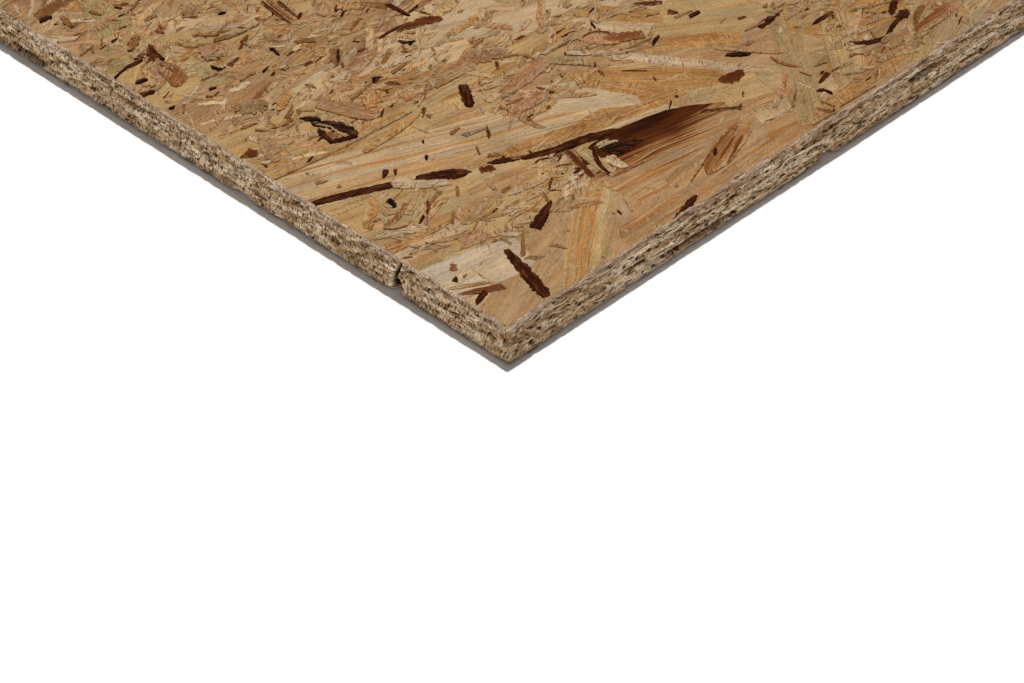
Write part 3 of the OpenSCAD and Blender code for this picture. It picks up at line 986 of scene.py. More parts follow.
# %% Shader group of the mat
def cells(place, feature, output):
    """Cells as wide as one unit"""
    node = step_of("ShaderNodeTexVoronoi", place, voronoi_dimensions="2D", feature=feature)
    node.inputs["Scale"].default_value = 1.0
    return Value(node.outputs[output])


def mat_group():
    """Tone, slits, slivers, and patches of worn rims and painted rim shade, from the place on the
    face in mm
    """
    tree, given, made = new_group(
        "pressed_mat", "ShaderNodeTree", {"Place": ("NodeSocketVector", None)},
        {"Tone": "NodeSocketColor", "Slits": "NodeSocketFloat", "Slivers": "NodeSocketFloat",
         "Wear": "NodeSocketFloat"})
    place = given["Place"]
    x, y, _ = parts(place)

    def patches(size, shift, detail=2.0):
        return noise(vector(x / size, y / size, shift), detail)

    tone = blend(between(patches(24, 3.0), 0.35, 0.65), MAT_TINTS["tan"], MAT_TINTS["straw"])
    tone = blend(between(patches(17, 9.0), 0.52, 0.68), tone, MAT_TINTS["pink"])
    tone = blend(between(patches(8, 15.0), 0.54, 0.68), tone, MAT_TINTS["brown"])
    made_tone = scaled(tone, between(patches(6, 5.0, 3), 0.3, 0.7, 0.82, 1.12))
    shake = patches(3.5, 1.0) * 1.4
    spot = vector(x * 0.12 + shake, y * 0.17 + shake, 0.0)
    dice = parts(cells(spot, "F1", "Color"))
    turned = step_of("ShaderNodeVectorRotate", place, rotation_type="Z_AXIS")
    feed(turned.inputs["Angle"], dice[0] * 2.4 - 1.4)
    along, across, _ = parts(Value(turned.outputs[0]))
    thread = noise(vector(along / 3.4, across / 0.54, dice[1] * 40), 1)
    feed(made["Tone"], made_tone)
    # the slits say where painted shade darkens hairline cracks
    feed(made["Slits"], between(thread, 0.575, 0.66))
    feed(made["Slivers"], between(thread, 0.43, 0.35))
    # the same patches say where rims are worn and where a rim gets a line of painted shade
    feed(made["Wear"], patches(1.3, 7.0, 1))
    return tree


pressed_mat = mat_group()
print(len(pressed_mat.nodes), "nodes make the mat")

# %% [markdown]
# ## The grain of a strand
# A strand is sliced along the trunk, so the yearly rings show as long bands that wander a
# little, with fine fibres between them. The group reads the strand's own coordinates, in
# millimetres along and across it, and gives back a colour, a height for the bump and a
# roughness. Each strand's seed shifts the noise, so no two strands share their rings. Light
# woods fade into the mat at their worn rims; dark ones keep a sharp, flecked outline.

# %% Shader group of the grain
def worn_share(rim, wear_and_rim_shade, narrow, pale, light):
    """How much of the mat shows through at a worn rim, from 0 to 1"""
    worn = between(wear_and_rim_shade * 1.6 + rim, 0.55, 1.5, 0.75, narrow * 0.3)
    chipped = between(wear_and_rim_shade * 1.6 + rim, 0.8, 1.1, 0.6, 0.0) * between(light, 0.06, 0.1)
    return maths("MAXIMUM", worn * pale, chipped)


def heartwood(colour, aged, cloud):
    """Sapwood that ages: first brown, then nearly black"""
    brown = blend(1.0, colour, (0.62, 0.38, 0.2, 1), "MULTIPLY")
    colour = blend(between(aged, 0.0, 0.5), colour, brown)
    colour = blend(between(aged, 0.35, 0.85), colour, GRAIN_TINTS["aged"])
    return blend(between(aged * cloud, 0.6, 0.9), colour, GRAIN_TINTS["oldest"])


def grain_group():
    """Colour, height and roughness of one strand"""
    tree, given, made = new_group(
        "strand_grain", "ShaderNodeTree",
        {"Grain": ("NodeSocketVector", None), "Across": ("NodeSocketVector", None),
         "Wood": ("NodeSocketColor", None), "Figure": ("NodeSocketVector", None),
         "Mat": ("NodeSocketColor", None), "Slits": ("NodeSocketFloat", 0.0),
         "Slivers": ("NodeSocketFloat", 0.0), "Wear": ("NodeSocketFloat", 0.5)},
        {"Colour": "NodeSocketColor", "Height": "NodeSocketFloat", "Roughness": "NodeSocketFloat"})
    along, across, half_length = parts(given["Grain"])
    side, half, end = parts(given["Across"])
    streak, heart, seed = parts(given["Figure"])
    wear_and_rim_shade, mat, wood = given["Wear"], given["Mat"], given["Wood"]

    def fibre_noise(length, width, shift, detail=2.0, roughness=0.5):
        return noise(vector(along / length, bent / width, seed + shift), detail, roughness)

    def inside(edge, reach):
        return reach * (1 - abs(edge))

    bent = (noise(vector(along / 55, across / 14, seed + 11)) - 0.5) * 9 + across
    rings = between(fibre_noise(170, 2.6, 0, 1), 0.5, 0.66)
    fine_rings = between(fibre_noise(120, 1.0, 5, 1), 0.54, 0.7)
    late = maths("MAXIMUM", rings, fine_rings * 0.7)
    fibres = fibre_noise(13, 0.40, 2, 3, 0.65)
    pores = between(fibre_noise(3.2, 0.4, 7, 1), 0.6, 0.74)
    cloud = fibre_noise(30, 6, 9)
    cracks = between(fibre_noise(11, 0.5, 17, 1), 0.66, 0.76)
    warm = between(fibre_noise(20, 5, 21), 0.35, 0.65)
    rim = maths("MINIMUM", inside(side, half), inside(end, half_length))
    red, green, _ = parts(wood)
    pale = between(red + green, 0.12, 0.42)
    narrow = between(half, 1.5, 8.0, 1.0, 0.2)

    body = blend(worn_share(rim, wear_and_rim_shade, narrow, pale, red + green), wood, mat)
    late_wood = blend(1.0, body, (0.88, 0.6, 0.34, 1), "MULTIPLY")
    colour = blend(late * (streak * 0.9), body, late_wood)
    lines = (between(fibre_noise(75, 0.55, 29, 1), 0.56, 0.66)
             * between(streak, 0.55, 1.0, 0.1, 0.65) * between(cloud, 0.38, 0.6))
    colour = blend(lines, colour, GRAIN_TINTS["ring"])
    stripes = fibre_noise(34, 0.7, 33) * 3.0 + (side - 1.3)
    tail = between(end, 0.3, 1.0, 0.0, 1.1)
    aged = heart * between(stripes - tail, -0.5, 0.85)
    colour = heartwood(colour, aged, cloud)
    hue = blend(warm, (1.05, 0.98, 0.86, 1), (0.97, 1.01, 1.08, 1))
    colour = blend(1.0, colour, hue, "MULTIPLY")
    fleck = (1 - pale) * between(fibre_noise(5, 0.8, 25), 0.48, 0.68)
    colour = blend(fleck * 0.6, colour, GRAIN_TINTS["fleck"])
    busy = narrow * (pale * between(aged, 0.0, 0.3, 1.0, 0.0))
    slits = given["Slits"] * busy
    slivers = given["Slivers"] * busy
    colour = blend(slivers * 0.5, colour, MAT_TINTS["sliver"])
    # the slits are darkened with painted shade
    colour = blend(slits * 0.75, colour, MAT_TINTS["slit"])

    light = between(fibres, 0.25, 0.75, 0.73, 1.2) * between(cloud, 0.3, 0.7, 0.84, 1.14)
    # the cracks are darkened with painted shade
    for share, dark in ((pores, 0.72), (cracks, 0.55)):
        light = light * between(share, 0, 1, 1.0, dark)
    # painted shade, with some glue: a broken dark line along the rim where one strand meets the
    # next
    rim_glue_and_shade = between(wear_and_rim_shade, 0.42, 0.66) * between(cloud, 0.42, 0.58)
    shade = between(rim_glue_and_shade, 0, 1, 1.0, 0.84)
    light = light * between(rim, 0.0, 0.4, shade, 1.0)
    feed(made["Colour"], scaled(colour, light))
    raised = between(rim, 0.0, 0.5) * between(wear_and_rim_shade, 0.35, 0.55)
    feed(made["Height"], raised * 2.4 + (slits * -0.8 + (fibres * 0.6 + pores * -0.5)))
    feed(made["Roughness"], between(late, 0, 1, 0.74, 0.6))
    return tree


strand_grain = grain_group()
print(len(strand_grain.nodes), "nodes make the grain")

# %% [markdown]
# ## The look of a sawn side
# A saw cuts some strands along and some across. On the long sides most are cut along, so they
# look like thin layers; on the short ends they are cut across and look like crumbs and fur. Two
# Voronoi textures squeezed to the thickness of a strand give both: one tone for each cell,
# painted shade in the seams between cells, and fuzz over all. The pits are painted shade too, and
# the lowest millimetres of a side get a painted shadow where it meets the floor. Points deep in a
# gap are dark, for little light gets there.

# %% Shader group of a sawn side
def sawn_group():
    """Colour and height of a sawn side, from the place on it"""
    tree, given, made = new_group(
        "sawn_side", "ShaderNodeTree",
        {"Cut": ("NodeSocketVector", None), "End": ("NodeSocketFloat", 0.0)},
        {"Colour": "NodeSocketColor", "Height": "NodeSocketFloat"})
    s, z, depth = parts(given["Cut"])
    end = given["End"]
    wave = noise(vector(s / 9, z / 4, end))
    z_bent = wave * 2.6 + z

    def stretched(long_side, short_end, high_side, high_end, shift, detail=1.0):
        length = between(end, 0, 1, long_side, short_end)
        height = between(end, 0, 1, high_side, high_end)
        return noise(vector(s / length, z_bent / height, shift), detail)

    shake = stretched(0.7, 0.7, 0.7, 0.7, 9.0) * 0.6

    def strips(long_side, short_end, thick, feature, output):
        length = between(end, 0, 1, long_side, short_end)
        return cells(vector(s / length, z_bent / thick + shake, 0.0), feature, output)

    chance = parts(strips(22.0, 6.0, 2.1, "F1", "Color"))[0]
    thin_chance = parts(strips(8.0, 2.4, 0.9, "F1", "Color"))[1]
    seam = strips(22.0, 6.0, 2.1, "DISTANCE_TO_EDGE", "Distance")
    thin_seam = strips(8.0, 2.4, 0.9, "DISTANCE_TO_EDGE", "Distance")
    chance = thin_chance * 0.4 + chance * 0.6
    tone = blend(between(chance, 0.2, 0.5), SAWN_TINTS["tan"], SAWN_TINTS["cream"])
    tone = blend(between(chance, 0.5, 0.8), tone, SAWN_TINTS["pale"])
    pits = between(stretched(3.4, 0.8, 0.75, 2.0, 3.0), 0.57, 0.64)
    hairs = between(stretched(2.6, 0.42, 0.45, 3.6, 6.0), 0.54, 0.64)
    fuzz = stretched(1.1, 0.6, 0.6, 1.6, 1.0, 3.0)
    mottle = stretched(13.0, 7.0, 3.0, 6.0, 5.0)
    light = between(fuzz, 0.3, 0.7, 0.7, 1.28) * between(mottle, 0.3, 0.7, 0.9, 1.14)
    grit = stretched(0.5, 0.36, 0.36, 0.5, 14.0)
    light = light * between(grit, 0.32, 0.68, between(end, 0, 1, 0.46, 0.8),
                            between(end, 0, 1, 1.32, 1.22))
    # painted shade in the seams between strands
    light = light * between(seam, 0.0, 0.09, 0.4, 1.0)
    light = light * between(thin_seam, 0.0, 0.12, 0.74, 1.0)
    colour = blend(hairs * 0.7, scaled(tone, light), SAWN_TINTS["hair"])
    # the pits get painted shade
    colour = blend(pits * 0.92, colour, SAWN_TINTS["pit"])
    rubbed = between(stretched(14, 9, 2, 3, 12.0), 0.38, 0.54)
    rubbed = between(z, THICK - 5.5, THICK - 1.5) * rubbed
    colour = blend(rubbed * 0.55, colour, SAWN_TINTS["rubbed"])
    # painted shadow: darker towards the bottom of a side, nearly black in the lowest millimetre
    # where it meets the floor
    foot = mottle * 1.6 + (z - 0.8)
    foot = between(foot, 1.1, 0.4) * between(end, 0, 1, 0.78, 0.8)
    colour = blend(between(z, 2.6, 0.8, 0.0, 0.3), colour, SAWN_TINTS["low"])
    colour = blend(foot, colour, SAWN_TINTS["foot"])
    colour = blend(between(depth, 1.0, 3.0), colour, SAWN_TINTS["gap"])
    feed(made["Colour"], colour)
    feed(made["Height"], hairs * 0.5 + (fuzz + pits * -0.8))
    return tree


sawn_side = sawn_group()
print(len(sawn_side.nodes), "nodes make a sawn side")

# %% [markdown]
# The material feeds the groups from the attributes that the geometry tree stored, and adds what
# lies over the whole face: a fine speckle of glue and dust, and a paler tone where a strand
# was sawn through. The bump is a tenth of a millimetre high, as fibres are.

# %% Material of the strands
def attribute(tree, name, output="Vector"):
    """Reads an attribute of the mesh in a shader"""
    return source(tree, "ShaderNodeAttribute", output, attribute_name=name)


def through(group, tree, **values):
    """A node group fed with values by name, and what leaves it by name"""
    node = add(tree, "ShaderNodeGroup", node_tree=group)
    for name, value in values.items():
        feed(node.inputs[name], value)
    return {socket.name: Value(socket) for socket in node.outputs}


def plain_material(name):
    """A material with its Principled surface, and its tree"""
    material = bpy.data.materials.new(name)
    material.use_nodes = True
    surface = material.node_tree.nodes["Principled BSDF"]
    surface.inputs["Specular IOR Level"].default_value = 0.015
    return material, material.node_tree, surface


def bump(surface, height, distance, strength):
    """Feeds a height to the surface as a bump"""
    node = add(surface.id_data, "ShaderNodeBump")
    node.inputs["Strength"].default_value = strength
    node.inputs["Distance"].default_value = distance
    feed(node.inputs["Height"], height)
    feed(surface.inputs["Normal"], Value(node.outputs["Normal"]))


def strand_material():
    """Grain and mat from their groups, speckle over the whole face"""
    material, tree, surface = plain_material("pressed_strands")
    place = scaled(source(tree, "ShaderNodeTexCoord", "Object"), 1 / MM)
    mat = through(pressed_mat, tree, Place=place)
    grain = through(strand_grain, tree, Grain=attribute(tree, "grain"),
                    Across=attribute(tree, "across"), Figure=attribute(tree, "figure"),
                    Wood=attribute(tree, "wood", "Color"), Mat=mat["Tone"],
                    Slits=mat["Slits"], Slivers=mat["Slivers"], Wear=mat["Wear"])
    speckle = noise(scaled(place, 1.1), 2)
    dust = noise(scaled(place, 0.06), 3)
    light = between(speckle, 0.3, 0.7, 0.91, 1.16) * between(dust, 0.3, 0.7, 0.89, 1.08)
    x, y, z = parts(place)
    faces = parts(source(tree, "ShaderNodeTexCoord", "Normal"))
    rim = through(sawn_side, tree, Cut=vector(x + y, z, 0.0),
                  End=maths("GREATER_THAN", abs(faces[0]), 0.5))
    colour = blend(attribute(tree, "sawn", "Fac"), grain["Colour"], rim["Colour"])
    feed(surface.inputs["Base Color"], scaled(colour, light))
    feed(surface.inputs["Roughness"], grain["Roughness"])
    bump(surface, grain["Height"], 0.0001, 0.6)
    return material


pressed_strands = strand_material()
strands = strand_tree(pressed_strands)
print(len(strands.nodes), "nodes shape a strand,", len(pressed_strands.node_tree.nodes), "dress it")

# %% [markdown]
# ## How deep a sawn side lies
# The press makes an endless mat, and a saw trims it. A sawn side is never flat: fibres stand out
# as fuzz, thin layers part along seams, the lower arris breaks away, and here and there a whole
# strand ran out and left a gap. A displacement texture could roughen it, but then the strands
# of the faces and the core below them would tear in different places. One function that gives
# the depth at any place of a side serves both, so they fit.

# %% Depth of the sawn sides
SIDES = {"front": (1, -1), "back": (1, 1), "left": (0, -1), "right": (0, 1)}  # axis and way
SEAMS = (3.9, 7.4, 11.2, 14.9)  # heights at which the layers part, in mm
SLOT_DEPTH = 4.0  # the deepest place of a side, in mm
SLOT_RUN = (50, 61)  # the slot lies between these places on the left end, in mm
SLOT_TOP, SLOT_KNEE = THICK - 2, 7.5  # how high it reaches, and where its neck starts, in mm


def ripple(s, z, seed, length, height=1.0):
    """Smooth noise from -1 to 1 over a sawn side"""
    return mathutils.noise.noise(Vector((s / length, z / height, seed)))


def lens(s, z, start, length, middle, opening):
    """How deep a gap between two strands is: 1 in its middle and 0 at its rim"""
    u = (s - start) / length * 2 - 1
    if abs(u) >= 1:
        return 0.0
    v = (z - middle) / (opening / 2 * (1 - u * u) ** 0.5)
    return max(0.0, 1 - v * v) ** 0.5


GAPS = {  # start, length, height and opening of each gap, in mm, and how deep it goes
    "front": [(78, 34, 3.0, 2.4, 3), (57, 5, 6.0, 1.6, 3), (201, 21, 10, 2.2, 3),
              (1, 24, 4.2, 1.3, 2.2), (133, 34, 17.0, 0.7, 1.2), (30, 17, 12.2, 0.8, 1.4),
              (176, 12, 5.0, 0.9, 1.6), (112, 12, 12.6, 0.8, 1.6), (228, 14, 4.0, 1.0, 2)],
    "left": [(103, 8, 12.5, 2.4, 3), (152, 4.5, 8.5, 2.6, 3), (187, 11, 10.5, 2.4, 3),
             (205, 7, 13.2, 0.9, 1.6), (1, 12, 4.4, 1.1, 1.8), (20, 9, 5.0, 1.0, 1.6),
             (36, 7, 11, 0.9, 1.4), (84, 9, 6.4, 1.0, 1.8), (122, 7, 5, 1.0, 1.6),
             (170, 8, 4.4, 1.0, 1.6), (226, 10, 9, 1.2, 2), (242, 18, 3.0, 3.4, 3)]}
CHIPS = {"front": [(154, 8, 3)], "left": [(132, 8, 2)]}  # start, length, height


def slot_depth(s, z):
    """The slot that the saw tore through the left end: a wide foot and a leaning neck"""
    if z > SLOT_TOP or not SLOT_RUN[0] < s < SLOT_RUN[1]:
        return 0.0
    if z > SLOT_KNEE:
        share = (z - SLOT_KNEE) / (SLOT_TOP - SLOT_KNEE)
        first, last = 55.6 - 3.4 * share, 58.0 - 4.6 * share
    else:
        first, last = 53.2 + 1.6 * abs(z - 5.5) / 5.5, 58.6
    inside = min(s - first, last - s)
    return SLOT_DEPTH * min(1.0, max(0.0, inside + 0.4))


def recess(side, s, z):
    """How far the sawn side lies inside the outline, in mm"""
    long_side = side in ("front", "back")
    fuzz = 0.26 + 0.3 * ripple(s, z, 3.0, 1.7 if long_side else 1.1, 0.9 if long_side else 1.5)
    layers = max(0.0, ripple(s, z, 5.0, 9.0 if long_side else 4.0, 1.2) - 0.15)
    hollows = max(0.0, ripple(s, z, 8.0, 12.0 if long_side else 5.0, 2.4) - 0.05)
    depth = (fuzz + 2.2 * layers + 1.2 * hollows) * min(1.0, 0.3 + z / 4)
    for seam in SEAMS:
        away = abs(z - seam - 1.6 * ripple(s, 0, seam, 19.0 if long_side else 11.0)) / 0.6
        deep = 2.0 * max(0.0, 0.3 + ripple(s, 0, seam + 40, 9.0))
        depth += deep * max(0.0, 1 - away)
    for start, length, middle, opening, deep in GAPS.get(side, ()):
        depth = max(depth, deep * lens(s, z, start, length, middle, opening))
    for start, length, height in CHIPS.get(side, ()):
        if start < s < start + length and z < height * 1.1:
            u = (s - start) / length * 2 - 1
            depth = max(depth, SLOT_DEPTH * min(1.0, max(0.0, 1.2 - (z / height) ** 2 - u * u)))
    if side == "left":
        depth = max(depth, slot_depth(s, z))
    arris = 1.1 + (0.5 if long_side else 0.9) * ripple(s, 0, 33.0, 5)  # how high it broke away
    if z < arris:
        depth = max(depth, (0.1 + (1.0 if long_side else 1.6) * ripple(s, 0, 31.0, 7))
                    * (1 - (z / arris) ** 2) ** 0.5)
    return max(depth, 0.02)


print("a quarter of the way along, the front side lies",
      round(recess("front", LENGTH / 4, THICK / 2), 2), "mm in")

# %% [markdown]
# ## Sawing the mat
# Strands that stand out past the panel are cut off flush. A boolean would be slow on thousands
# of small boxes, so each side is cut by a plane, and the holes that it leaves are closed again.
# Along the corner that is seen from near, the cut rims also get a few extra points. They are
# pushed in by a fraction of a millimetre, because a saw always frays an arris a little.

# %% Saw, score and fray
NEAR_RUN = 275  # how far from the near corner the sawn sides are seen, in mm
SCORE_STEP = 2.0  # distance between the extra points, in mm
SAME_PLACE = 1e-8  # points closer than this, in metres, count as one


def each_once(items):
    """The items without repeats, in the order in which they came"""
    return list(dict.fromkeys(items))


def plane_of(side):
    """The axis that a side faces along, which way it faces, and how far out it lies in metres"""
    axis, way = SIDES[side]
    return axis, way, (LENGTH, WIDTH)[axis] / 2 * MM


def saw(bm, side):
    """Cuts off what stands out past one side, and closes the strands that were cut"""
    axis, way, limit = plane_of(side)
    outward = Vector((0, 0, 0))
    outward[axis] = way
    out = [f for f in bm.faces if max(v.co[axis] * way for v in f.verts) > limit]
    around = each_once(e for f in out for e in f.edges) + each_once(v for f in out for v in f.verts)
    cut = bmesh.ops.bisect_plane(bm, geom=out + around, dist=SAME_PLACE,
                                 plane_co=outward * limit, plane_no=outward, clear_outer=True)
    rims = [e for e in cut["geom_cut"] if isinstance(e, bmesh.types.BMEdge) and e.is_boundary]
    sawn = bm.faces.layers.float["sawn"]
    for face in bmesh.ops.edgeloop_fill(bm, edges=rims)["faces"]:
        face[sawn] = 1.0
        face.normal_update()
        if face.normal.dot(outward) < 0:
            face.normal_flip()


def score(bm, side):
    """Adds points to the sawn rims near the corner, so that they can fray"""
    axis, way, limit = plane_of(side)
    other = 1 - axis
    along = Vector((0, 0, 0))
    along[other] = 1.0
    rim = [f for f in bm.faces if max(v.co[axis] * way for v in f.verts) > limit - 1e-7]
    for station in np.arange(3.0, NEAR_RUN, SCORE_STEP):
        there = (station - (LENGTH, WIDTH)[other] / 2) * MM
        crossed = [f for f in rim if min(v.co[other] for v in f.verts) < there
                   and max(v.co[other] for v in f.verts) > there]
        if crossed:
            edges = each_once(e for f in crossed for e in f.edges)
            cut = bmesh.ops.bisect_plane(bm, geom=crossed + edges, dist=SAME_PLACE,
                                         plane_co=along * there, plane_no=along)
            rim = each_once(rim + [f for f in cut["geom"] if isinstance(f, bmesh.types.BMFace)])


def fray(bm, side):
    """Pushes the sawn rims in, each strand by its own amount"""
    axis, way, limit = plane_of(side)
    origin = -(LENGTH, WIDTH)[1 - axis] / 2
    figure = bm.verts.layers.float_vector["figure"]
    for vert in bm.verts:
        inside = (limit - vert.co[axis] * way) / MM
        if inside < SLOT_DEPTH + 0.5:
            s, z = vert.co[1 - axis] / MM - origin, vert.co.z / MM
            own = 0.02 + 0.2 * (vert[figure].z * 7.31 % 1)
            depth = own + 0.7 * max(0.0, ripple(s, z, 21.0, 2.6))
            depth = max(depth, recess(side, s, z) + (0.1 if z < 2 else -0.4))
            if inside < depth:
                vert.co[axis] = way * (limit - depth * MM)


print("rims get a point every", SCORE_STEP, "mm for", NEAR_RUN, "mm from the near corner")

# %% [markdown]
# ## Pressing one field
# The geometry tree works on an object, so each field of strands starts as a mesh of loose
# points, one for each strand, with the deck's numbers as attributes. The modifier turns them
# into boxes, and new_from_object keeps the result as a plain mesh. The faces are then sorted
# from the lowest strand to the highest, and the map called OFBake looks straight down, so a
# texture on it shows what an eye above the panel would see.

# %% Press one field
RAGGED = {"Tear": 1.5, "Split Ends": 5.0}  # how far rims and ends are torn, in mm


def points_of(rows, name):
    """A mesh of one point for each strand, with the deck's numbers as attributes"""
    mesh = bpy.data.meshes.new(name)
    mesh.from_pydata([(x * MM, y * MM, 0) for x, y in rows[:, :2]], [], [])
    for title, (first, last) in COLUMNS.items():
        kind, slot = {1: ("FLOAT", "value"), 3: ("FLOAT_VECTOR", "vector"),
                      4: ("FLOAT_COLOR", "color")}[last - first]
        column = mesh.attributes.new(title, kind, "POINT")
        column.data.foreach_set(slot, rows[:, first:last].astype(np.float32).ravel())
    return mesh


def pressed(rows, name):
    """Runs the geometry tree on some rows and gives back the plain mesh"""
    maker = bpy.data.objects.new(name, points_of(rows, name))
    bpy.context.scene.collection.objects.link(maker)
    modifier = maker.modifiers.new("strands", "NODES")
    modifier.node_group = strands
    for item in strands.interface.items_tree:
        if item.in_out == "INPUT" and item.name in RAGGED:
            modifier[item.identifier] = RAGGED[item.name]
    evaluated = maker.evaluated_get(bpy.context.evaluated_depsgraph_get())
    mesh = bpy.data.meshes.new_from_object(evaluated)
    bpy.data.objects.remove(maker)
    return mesh


def map_from_above(bm, upward):
    """Sorts the faces by height and maps them straight down"""
    lie = bm.verts.layers.float_vector["lie"]
    for face in bm.faces:
        face.normal_update()
        face.material_index = 0

    def height(face):
        return (face.normal.z * upward > 0.5) * 100 + face.verts[0][lie].z

    bm.faces.sort(key=height)
    spots = np.array([v.co[:2] for v in bm.verts])
    low_spot, size = spots.min(axis=0), np.ptp(spots, axis=0)
    layer = bm.loops.layers.uv.new("OFBake")
    for face in bm.faces:
        for loop in face.loops:
            loop[layer].uv = (np.array(loop.vert.co[:2]) - low_spot) / size


print("a field is pressed from points that carry", ", ".join(COLUMNS))

# %% [markdown]
# ## The two faces
# A face holds thousands of strands, more than one mesh should carry, so it is made in eight
# fields of 305 mm. Each field takes the strands whose middle lies in it. The face below is made
# the same way and then turned over, because a panel looks much the same from both sides.

# %% Make the strand fields
FIELD = 305.0
COLUMN_COUNT, ROW_COUNT = 4, 2


def place_piece(name, mesh):
    """Links a finished mesh and tells the frame what it stands for"""
    piece = bpy.data.objects.new(name, mesh)
    bpy.context.scene.collection.objects.link(piece)
    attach(piece, "root")
    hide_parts("board")
    mesh.calc_loop_triangles()
    return len(mesh.loop_triangles)


def strand_field(name, rows, underside, sides):
    """One field of strands, sawn at the panel's sides"""
    mesh = pressed(rows, name)
    bm = bmesh.new()
    bm.from_mesh(mesh)
    mesh.materials.clear()
    mesh.materials.append(pressed_strands)
    if underside:
        turn_over = Matrix.Translation((0, 0, THICK * MM)) @ Matrix.Rotation(math.pi, 4, "X")
        bmesh.ops.transform(bm, matrix=turn_over, verts=bm.verts)
    bm.faces.layers.float.new("sawn")
    for side in sides:
        saw(bm, side)
    for side in sides:
        if set(sides) == {"front", "left"}:
            score(bm, side)
        fray(bm, side)
    map_from_above(bm, -1 if underside else 1)
    bm.to_mesh(mesh)
    bm.free()
    mesh.name = name
    return place_piece(name, mesh)


def make_face(title, deck, underside):
    """The eight fields of one face"""
    rows = deck.table()
    level = COLUMNS["lie"][0] + 2
    rows[:, level] = THICK - STEP * (rows[:, level].max() - rows[:, level])
    column = np.clip((rows[:, 0] + LENGTH / 2) // FIELD, 0, COLUMN_COUNT - 1)
    row = np.clip((rows[:, 1] + WIDTH / 2) // FIELD, 0, ROW_COUNT - 1)
    counts = []
    for x in range(COLUMN_COUNT):
        for y in range(ROW_COUNT):
            front = (y == 0) != underside
            sides = ["front" if front else "back"]
            sides += {0: ["left"], COLUMN_COUNT - 1: ["right"]}.get(x, [])
            counts.append(strand_field(f"{title}_{len(counts) + 1}",
                                       rows[(column == x) & (row == y)], underside, sides))
    return counts


face_counts = make_face("face_strands", face_deck, False)
under_counts = make_face("under_strands", under_deck, True)
print("triangles of the face", sum(face_counts), "and underneath", sum(under_counts))

# %% [markdown]
# ## The sawn core
# Between the two faces lies the rest of the mat. It could be filled with strands too, but
# inside it nothing is seen, so each field is a plain block. Its outer walls are a fine grid of
# points, and every point is pushed in by the depth of the sawn side there: fuzz, the seams
# between strands, and the gaps where a strand ran out. Each point also remembers its place on
# the side for the material.

# %% Make the core blocks
CORE_LOW, CORE_HIGH = 1.0, THICK - 1.0
WALL_SHARE = 0.94  # how much of the map the sawn walls take; the lids share the rest


def block_stations(x0, y0, outer, step):
    """Walks round a block and gives each point on its outline with the sides it touches"""
    corners = [(x0, y0), (x0 + FIELD, y0), (x0 + FIELD, y0 + FIELD), (x0, y0 + FIELD)]
    walk = []
    for index, side in enumerate(("front", "right", "back", "left")):
        start, end = np.array(corners[index]), np.array(corners[(index + 1) % 4])
        count = int(round(FIELD / step)) if side in outer else 1
        before = ("left", "front", "right", "back")[index]
        for number in range(count):
            point = start + (end - start) * number / count
            touched = [side] if side in outer else []
            touched += [before] if number == 0 and before in outer else []
            walk.append((point, side, touched))
    return walk


def sawn_column(bm, cut, point, touched, heights):
    """The points of a wall above one place on the outline, each pushed in by the recess there"""
    column = []
    for z in heights:
        spot, deepest, run = np.array(point), 0.0, 0.0
        for side in touched:
            axis, way = SIDES[side]
            run = point[1 - axis] + (LENGTH, WIDTH)[1 - axis] / 2
            depth = recess(side, run, z)
            spot[axis] -= way * depth
            deepest = max(deepest, depth)
        vert = bm.verts.new((spot[0] * MM, spot[1] * MM, z * MM))
        vert[cut] = (run, z, deepest)
        column.append(vert)
    return column


def map_wall(face, uv, run, rise):
    """Puts a face of a sawn wall on the map, between two places along it and two up it"""
    corners = ((run[0], rise[0]), (run[1], rise[0]), (run[1], rise[1]), (run[0], rise[1]))
    for loop, corner in zip(face.loops, corners):
        loop[uv].uv = corner


def rises_of(row, share, layers):
    """Heights on the map of the points up one wall, with a little room between the walls"""
    return [(row + 0.02 + 0.96 * up / (layers - 1)) * share for up in range(layers)]


def add_lids(bm, uv, grid, x0, y0):
    """Closes a block above and below, and maps both lids to a strip at the edge of the map"""
    for lid in ([column[-1] for column in grid], [column[0] for column in reversed(grid)]):
        face = bm.faces.new(lid)
        face.material_index = 1
        for loop in face.loops:
            u = (loop.vert.co.x / MM - x0) / FIELD
            v = (loop.vert.co.y / MM - y0) / FIELD
            loop[uv].uv = (u, 0.96 + 0.04 * min(1.0, max(0.0, v)))


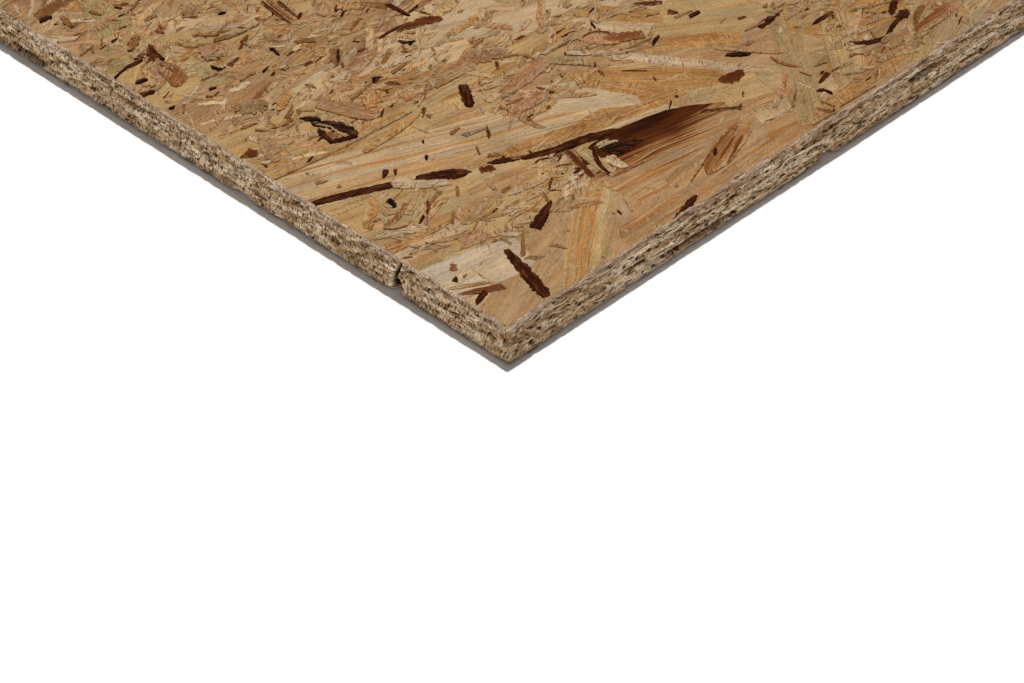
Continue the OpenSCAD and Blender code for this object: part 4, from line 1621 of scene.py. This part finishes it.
def core_block(name, x0, y0, outer, step, layers):
    """A closed block whose outer walls are sawn rough"""
    walk = block_stations(x0, y0, outer, step)
    heights = np.linspace(CORE_LOW, CORE_HIGH, layers)
    bm = bmesh.new()
    cut = bm.verts.layers.float_vector.new("cut")
    uv = bm.loops.layers.uv.new("OFBake")
    grid = [sawn_column(bm, cut, point, touched, heights) for point, _, touched in walk]
    share = WALL_SHARE / len(outer)
    ends_wall = bm.faces.layers.float.new("end_wall")
    for index, (point, side, _) in enumerate(walk):
        column, following = grid[index], grid[(index + 1) % len(walk)]
        axis = 1 - SIDES[side][0]
        next_point = walk[(index + 1) % len(walk)][0]
        run = [(place[axis] - (x0, y0)[axis]) / FIELD for place in (point, next_point)]
        rises = rises_of(outer.index(side), share, layers) if side in outer else []
        for level in range(layers - 1):
            face = bm.faces.new((column[level], following[level],
                                 following[level + 1], column[level + 1]))
            face[ends_wall] = side in ("left", "right")
            face.material_index = 0 if side in outer else 1
            if side in outer:
                map_wall(face, uv, run, rises[level:level + 2])
            else:
                for loop in face.loops:
                    loop[uv].uv = (0.5 + loop.vert.co.z, 0.98)
    add_lids(bm, uv, grid, x0, y0)
    mesh = bpy.data.meshes.new(name)
    bm.to_mesh(mesh)
    bm.free()
    mesh.materials.append(sawn_edge)
    mesh.materials.append(mat_ground)
    return place_piece(name, mesh)


print("a block of the core is", round(CORE_HIGH - CORE_LOW, 1), "mm high")

# %% [markdown]
# ## Dress the core
# The walls of a block take the sawn look from its group. The lids between the blocks and the
# strands show only through a crack here and there, so plain patches of dark brown do for them:
# glue and the painted shade of those cracks. The block at the near corner gets a much finer grid
# than the others, because it is seen from near.

# %% Materials of the core
def sawn_material():
    """The rough outer walls"""
    material, tree, surface = plain_material("sawn_edge")
    sawn = through(sawn_side, tree, Cut=attribute(tree, "cut"),
                   End=attribute(tree, "end_wall", "Fac"))
    feed(surface.inputs["Base Color"], sawn["Colour"])
    surface.inputs["Roughness"].default_value = 0.85
    bump(surface, sawn["Height"], 0.0003, 0.8)
    return material


def ground_material():
    """What shows between the strands of a face: more strands deeper in the mat, dark with glue and
    painted shade
    """
    material, tree, surface = plain_material("mat_ground")
    place = source(tree, "ShaderNodeTexCoord", "Object")
    patches = noise(scaled(place, 160.0), 3)
    colour = blend(between(patches, 0.4, 0.6), MAT_TINTS["ground"], MAT_TINTS["pale_ground"])
    feed(surface.inputs["Base Color"], colour)
    surface.inputs["Roughness"].default_value = 0.85
    return material


NEAR_GRID, FAR_GRID = (0.55, 33), (1.6, 13)  # step along a wall in mm, and points up it
sawn_edge, mat_ground = sawn_material(), ground_material()
core_counts = []
for x in range(COLUMN_COUNT):
    for y in range(ROW_COUNT):
        outer = ["front" if y == 0 else "back"]
        outer += {0: ["left"], COLUMN_COUNT - 1: ["right"]}.get(x, [])
        step, layers = NEAR_GRID if (x, y) == (0, 0) else FAR_GRID
        core_counts.append(core_block(f"sawn_core_{len(core_counts) + 1}",
                                      x * FIELD - LENGTH / 2, y * FIELD - WIDTH / 2,
                                      outer, step, layers))
print("triangles of the core", sum(core_counts), "- largest piece",
      max(face_counts + under_counts + core_counts))
